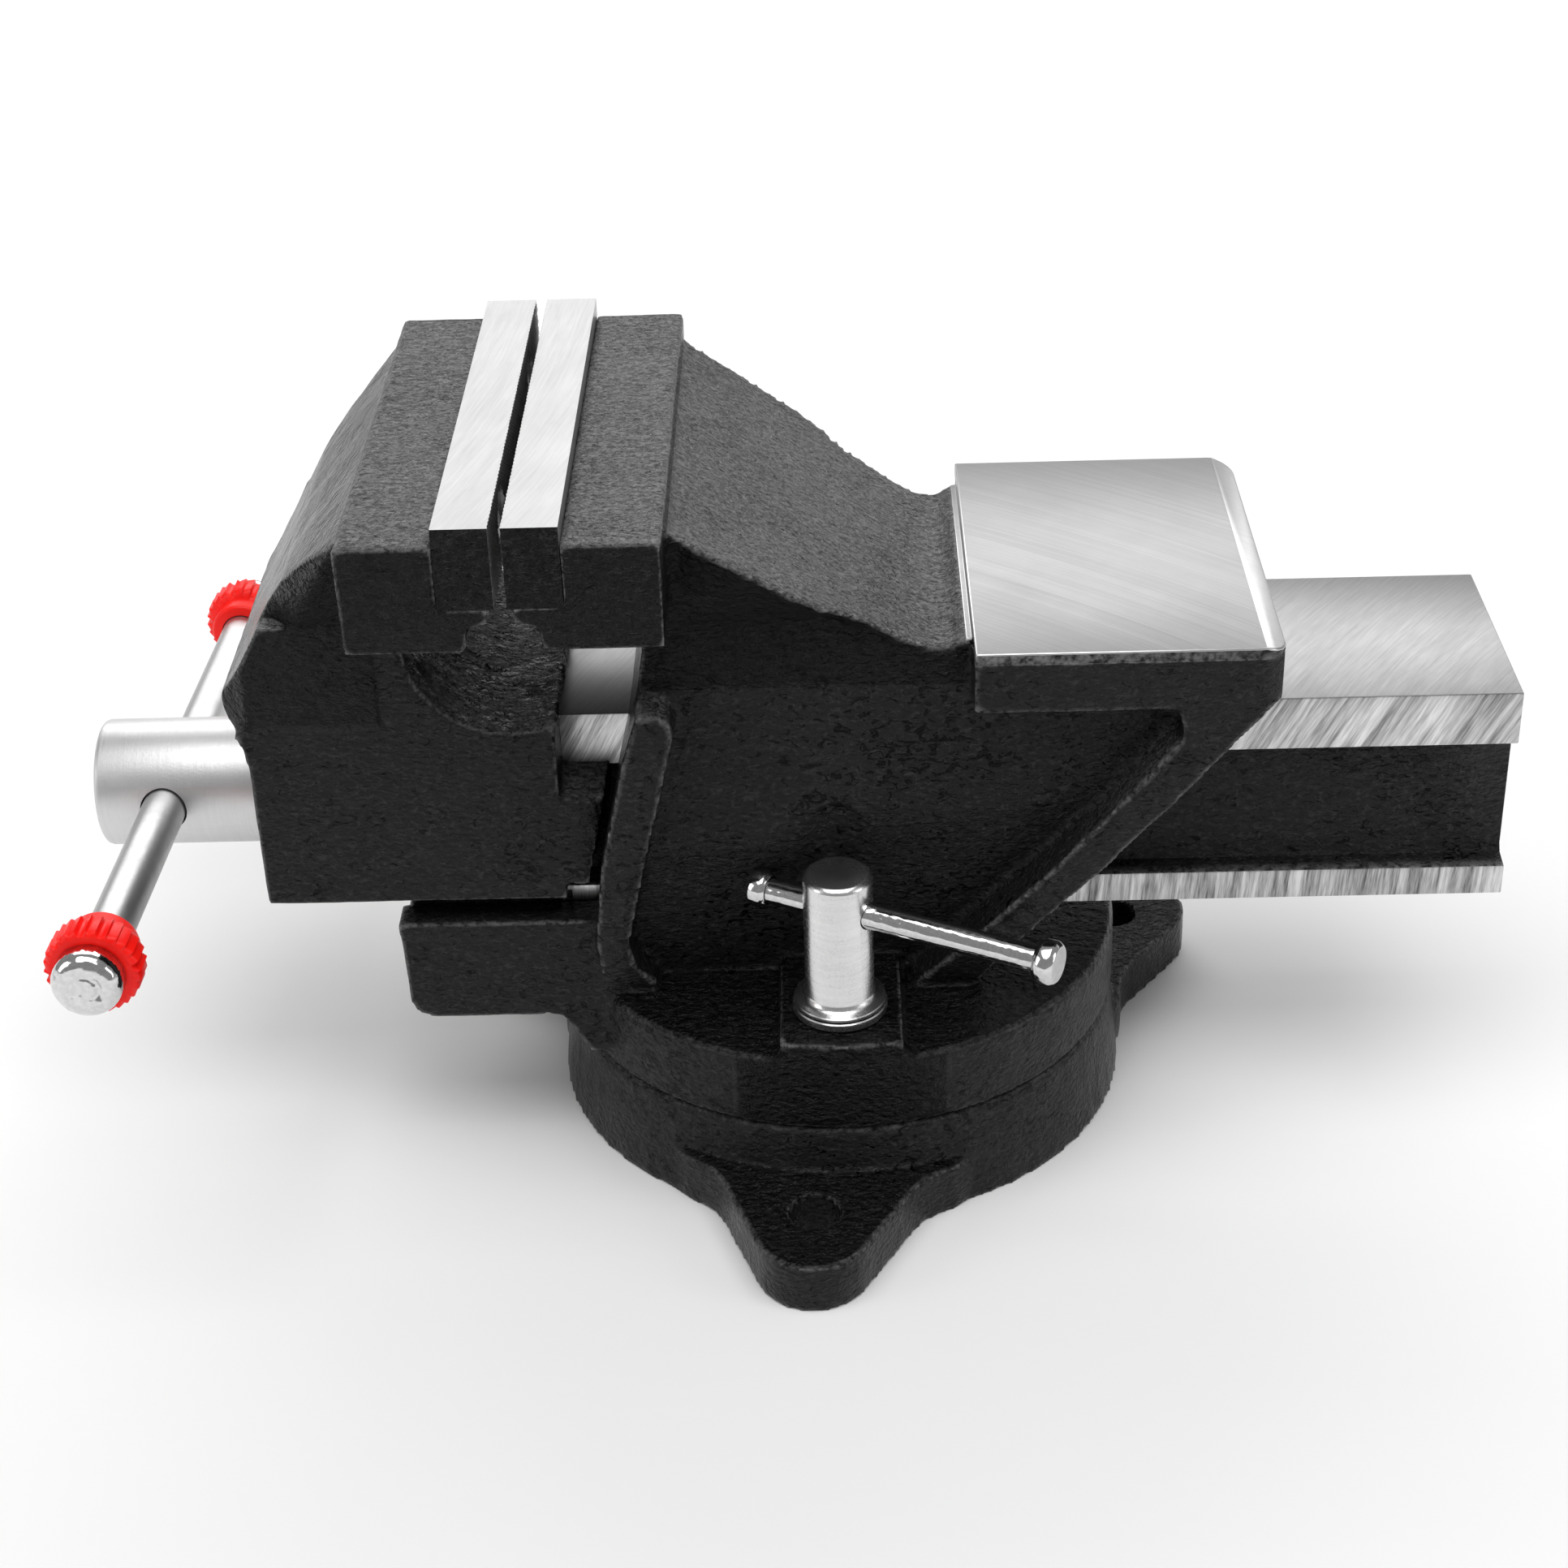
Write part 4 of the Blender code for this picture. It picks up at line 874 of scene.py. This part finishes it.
def spindle():
    profile = [
        (0, THREAD_START), (SPINDLE_R, THREAD_START), (SPINDLE_R, HEAD_SHOULDER),
        (HEAD_R - 0.5, HEAD_SHOULDER), (HEAD_R, HEAD_SHOULDER - 0.5), (HEAD_R, HEAD_END + 1.8),
        (HEAD_R - 0.35, HEAD_END + 0.8), (HEAD_R - 1.2, HEAD_END + 0.15), (HEAD_R - 2.2, HEAD_END),
        (0, HEAD_END),
    ]
    head = new_object("spindle", lathe(profile, "X", 128), "head", matrix=place(0, 0, SPINDLE_Z))
    hole = new_object("handle_hole", rod_tool(HANDLE_HOLE_R, 30, "Y", 64), matrix=HANDLE_PLACE)
    pin = new_object("pin_hole", rod_tool(PIN_HOLE_R, 20, "Z", 32), matrix=place(PIN_X, 0, SPINDLE_Z))
    subtract(head, hole, pin)
    bevel(head, 0.45, 3, 50)
    apply_modifiers(head)
    smooth(head, 30)
    thread = new_object("thread", threaded_rod(THREAD_START - 1, SPINDLE_TAIL), "thread",
                        matrix=place(0, 0, SPINDLE_Z))
    smooth(thread, 50)
    join_meshes(head, thread)
    return stands_for(head, "bright_steel", "lead_screw")


def handle_bar():
    end = RING_MIDDLE + RING_HALF
    profile = [(0, -end - 5), (4, -end - 5), (4, -end), (HANDLE_R - 0.4, -end), (HANDLE_R, -end + 0.4),
               (HANDLE_R, 0), (HANDLE_R, end - 0.4), (HANDLE_R - 0.4, end), (4, end), (4, end + 5),
               (0, end + 5)]
    obj = new_object("handle_bar_turned", lathe(profile, "Y", 96), "bar", matrix=HANDLE_SHIFTED)
    smooth(obj)
    return stands_for(obj, "bright_steel", "handle_bar")


def grip_ring(label, side):
    """Red ring with sawtooth grooves along its flange, some of them chipped."""
    outer = RING_MIDDLE + RING_HALF
    inner = RING_MIDDLE - RING_HALF
    chips = [rng.random() for _ in range(RING_TEETH)]
    flange = [
        (HANDLE_R + 0.3, inner - 6.0, 0), (RING_HUB_R - 0.9, inner - 6.0, 0),
        (RING_HUB_R - 0.25, inner - 5.6, 0),
        (RING_HUB_R, inner - 5.0, 0), (RING_HUB_R, inner - 1.2, 0), (RING_HUB_R + 0.3, inner - 0.5, 0),
        (RING_R - 1.6, inner, 0.2), (RING_R - 0.3, inner + 0.8, 1), (RING_R, inner + 1.4, 1),
        (RING_R, (inner + outer) / 2, 1), (RING_R, outer - 1.4, 1), (RING_R - 0.3, outer - 0.7, 1),
        (RING_R - 1.5, outer - 0.1, 0.25), (RING_R - 2.2, outer, 0), (HANDLE_R + 0.3, outer, 0),
    ]

    def radius_at(index, turn, r):
        place_in = turn / (2 * math.pi) * RING_TEETH
        tooth_number = int(place_in) % RING_TEETH
        phase = place_in % 1
        depth = 0.85 * (1 - phase) if phase > 0.2 else 0.85 * phase / 0.2
        if chips[tooth_number] > 0.78:
            depth += 0.9 * math.sin(math.pi * phase)
        return r - flange[index][2] * depth

    profile = [(r, side * y) for r, y, _ in flange]
    obj = new_object(f"handle_ring_{label}_grooved", lathe(profile, "Y", RING_TEETH * 12, radius_at), "red",
                     matrix=HANDLE_SHIFTED)
    smooth(obj, 40)
    return stands_for(obj, "red_plastic", f"handle_ring_{label}")


def knob(label, side):
    """Domed button, flattened and dented in the middle where it was riveted."""
    inner = RING_MIDDLE + RING_HALF + 0.3
    dome = [(KNOB_R - 3.6 + 3.6 * math.cos(a), KNOB_END - 3.6 + 3.6 * math.sin(a))
            for a in [math.radians(d) for d in range(0, 91, 9)]]
    middle = [(KNOB_R - 3.6 - 5.5 * k / 16, KNOB_END) for k in range(1, 17)]
    profile = [(4.3, inner), (KNOB_R - 0.4, inner), (KNOB_R, inner + 0.4)] + dome + middle + [(0, KNOB_END)]
    profile = [(0, inner + 5.6), (4.3, inner + 5.6)] + profile
    bm = lathe([(r, side * y) for r, y in profile], "Y", 72)
    for v in bm.verts:
        out = side * v.co.y
        r = math.hypot(v.co.x, v.co.z)
        if out > KNOB_END - 1.2:
            dent = 0.5 * max(0.0, noise3((v.co.x, v.co.z, 3 * side), 2.6, 8.0))
            turn = math.atan2(v.co.z, v.co.x)
            ring = 0.55 * math.exp(-((r - 3.7) / 0.9) ** 2) * (0.5 + 0.5 * math.sin(turn * 1.5 + 0.8))
            v.co.y -= side * (dent + ring)
    obj = new_object(f"handle_knob_{label}_domed", bm, "polished", matrix=HANDLE_SHIFTED)
    smooth(obj, 50)
    return stands_for(obj, "bright_steel", f"handle_knob_{label}")


# ---------------------------------------------------------------- swivel locks

def lock(label, side):
    turn = LOCK_BAR_ANGLE if side < 0 else LOCK_BAR_ANGLE + 180
    nut_place = place(0, side * LOCK_Y, 0, (turn, "Z"))
    bar_place = place(0, side * LOCK_Y, LOCK_BAR_Z, (turn, "Z"))
    b = LOCK_NUT_BOTTOM
    profile = [
        (0, 81), (LOCK_BOLT_R, 81), (LOCK_BOLT_R, b), (LOCK_COLLAR_R - 0.2, b), (LOCK_COLLAR_R, b + 0.2),
        (LOCK_COLLAR_R, b + 0.9), (LOCK_COLLAR_R - 0.25, b + 1.15), (LOCK_NUT_R + 1.4, b + 1.5),
        (LOCK_NUT_R + 0.5, b + 2.2), (LOCK_NUT_R, b + 3.4), (LOCK_NUT_R, LOCK_NUT_TOP - 1.5),
        (LOCK_NUT_R - 0.25, LOCK_NUT_TOP - 0.9), (LOCK_NUT_R - 1.1, LOCK_NUT_TOP - 0.1),
        (LOCK_NUT_R - 1.5, LOCK_NUT_TOP), (0, LOCK_NUT_TOP),
    ]
    nut = new_object(f"lock_nut_{label}_turned", lathe(profile, "Z", 96), "nut", matrix=nut_place)
    hole = new_object("bar_hole", rod_tool(LOCK_BAR_R + 0.3, 20, "X", 48), matrix=bar_place)
    subtract(nut, hole)
    bevel(nut, 0.3, 2, 50)
    apply_modifiers(nut)
    smooth(nut, 30)
    stands_for(nut, "bright_steel", f"lock_nut_{label}")

    ring = [(LOCK_BOLT_R + 0.2, 56.5), (12.6, 56.5), (12.9, 56.8), (12.9, 58.7), (12.6, 59.0),
            (LOCK_BOLT_R + 0.2, 59.0)]
    washer = new_object(f"lock_washer_{label}_turned", lathe(ring, "Z", 96), "nut",
                        matrix=place(0, side * LOCK_Y, 0))
    smooth(washer, 30)
    stands_for(washer, "zinc_steel", f"lock_washer_{label}")

    rod = [(0, -LOCK_BAR_SHORT), (LOCK_BAR_R - 0.3, -LOCK_BAR_SHORT), (LOCK_BAR_R, -LOCK_BAR_SHORT + 0.3),
           (LOCK_BAR_R, LOCK_BAR_LONG - 0.3), (LOCK_BAR_R - 0.3, LOCK_BAR_LONG), (0, LOCK_BAR_LONG)]
    bar = new_object(f"lock_bar_{label}_turned", lathe(rod, "X", 64), "polished", matrix=bar_place)
    smooth(bar, 30)
    stands_for(bar, "bright_steel", f"lock_bar_{label}")

    for end, where, middle, wide in ((-1, "inner", LOCK_BAR_SHORT, LOCK_INNER_CAP_R),
                                     (1, "outer", LOCK_BAR_LONG, LOCK_OUTER_CAP_R)):
        bore = LOCK_BAR_R + 0.3
        shape = [
            (0, middle + 0.3), (bore, middle + 0.3), (bore, middle - 2.9), (wide - 1.1, middle - 2.9),
            (wide - 0.8, middle - 2.7), (wide - 0.15, middle - 1.7), (wide, middle - 1.3),
            (wide, middle + 1.3), (wide - 0.15, middle + 1.7), (wide - 0.8, middle + 2.7),
            (wide - 1.1, middle + 2.9), (0, middle + 2.9),
        ]
        solid = lathe([(r, end * x) for r, x in shape], "X", 64)
        cap = new_object(f"lock_cap_{where}_{label}_flared", solid, "polished", matrix=bar_place)
        smooth(cap, 30)
        stands_for(cap, "bright_steel", f"lock_bar_cap_{where}_{label}")


# ---------------------------------------------------------------- carried-over nodes

CARRIED = {
    "pivot_pin": "zinc", "rear_plate_screw_near": "zinc", "rear_plate_screw_far": "zinc",
    "front_plate_screw_near": "zinc", "front_plate_screw_far": "zinc", "spindle_nut": "iron",
    "spindle_nut_bolt": "zinc", "lock_bolt_near": "zinc", "lock_bolt_far": "zinc",
    "thrust_washer": "zinc", "spindle_spring": "thread", "spring_washer": "zinc", "retaining_pin": "zinc",
}


def carry_over():
    """Hidden fasteners keep their CAD meshes, with broken edges and real finishes."""
    for node, key in CARRIED.items():
        obj = NODES[node]
        obj.data.materials.clear()
        obj.data.materials.append(MATERIALS[key])
        if node != "spindle_spring":
            bevel(obj, 0.25, 2, 40)


# ---------------------------------------------------------------- stage

def softbox(name, place_at, aim, size, radiance):
    """Rectangular lamp whose face has the given radiance."""
    data = bpy.data.lights.new(name, "AREA")
    data.shape = "RECTANGLE"
    data.size, data.size_y = size
    data.energy = radiance * size[0] * size[1] * math.pi
    obj = bpy.data.objects.new(name, data)
    obj.location = place_at
    direction = Vector(aim) - Vector(place_at)
    obj.rotation_euler = direction.to_track_quat("-Z", "Y").to_euler()
    bpy.context.scene.collection.objects.link(obj)
    return obj


def floor():
    bm = bmesh.new()
    bmesh.ops.create_grid(bm, x_segments=8, y_segments=8, size=6000)
    t = Tree("pale_floor")
    patch = t.noise(3, 3.0)
    t.finish(t.mix(patch, grey(0.86), grey(0.88)), 0.8, specular=0.1)
    obj = new_object("floor", bm)
    obj.data.materials.append(t.material)


def camera():
    azimuth = math.radians(CAMERA_AZIMUTH)
    elevation = math.radians(CAMERA_ELEVATION)
    roll = math.radians(CAMERA_ROLL)
    level = math.cos(elevation)
    back = Vector((math.sin(azimuth) * level, -math.cos(azimuth) * level, math.sin(elevation)))
    right = (-back).cross(Vector((0, 0, 1))).normalized()
    up = right.cross(-back)
    tilted_right = math.cos(roll) * right + math.sin(roll) * up
    tilted_up = -math.sin(roll) * right + math.cos(roll) * up
    data = bpy.data.cameras.new("camera")
    data.sensor_width = 36.0
    data.lens = CAMERA_LENS
    data.clip_start = 0.05
    obj = bpy.data.objects.new("camera", data)
    rotation = Matrix((tilted_right, tilted_up, back)).transposed().to_4x4()
    obj.matrix_world = Matrix.Translation(CAMERA_PLACE) @ rotation
    bpy.context.scene.collection.objects.link(obj)
    bpy.context.scene.camera = obj


def studio():
    scene = bpy.context.scene
    scene.view_settings.view_transform = "Standard"
    world = bpy.data.worlds.new("studio")
    scene.world = world
    world.use_nodes = True
    background = world.node_tree.nodes["Background"]
    background.inputs["Color"].default_value = (1, 1, 1, 1)
    background.inputs["Strength"].default_value = WORLD_STRENGTH
    for lamp in SOFTBOXES:
        softbox(*lamp)


front_jaw()
rear_jaw()
base()
jaw_plate("rear", 1)
jaw_plate("front", -1)
spindle()
handle_bar()
for label, side in (("near", -1), ("far", 1)):
    grip_ring(label, side)
    knob(label, side)
    lock(label, side)
carry_over()
floor()
studio()
camera()
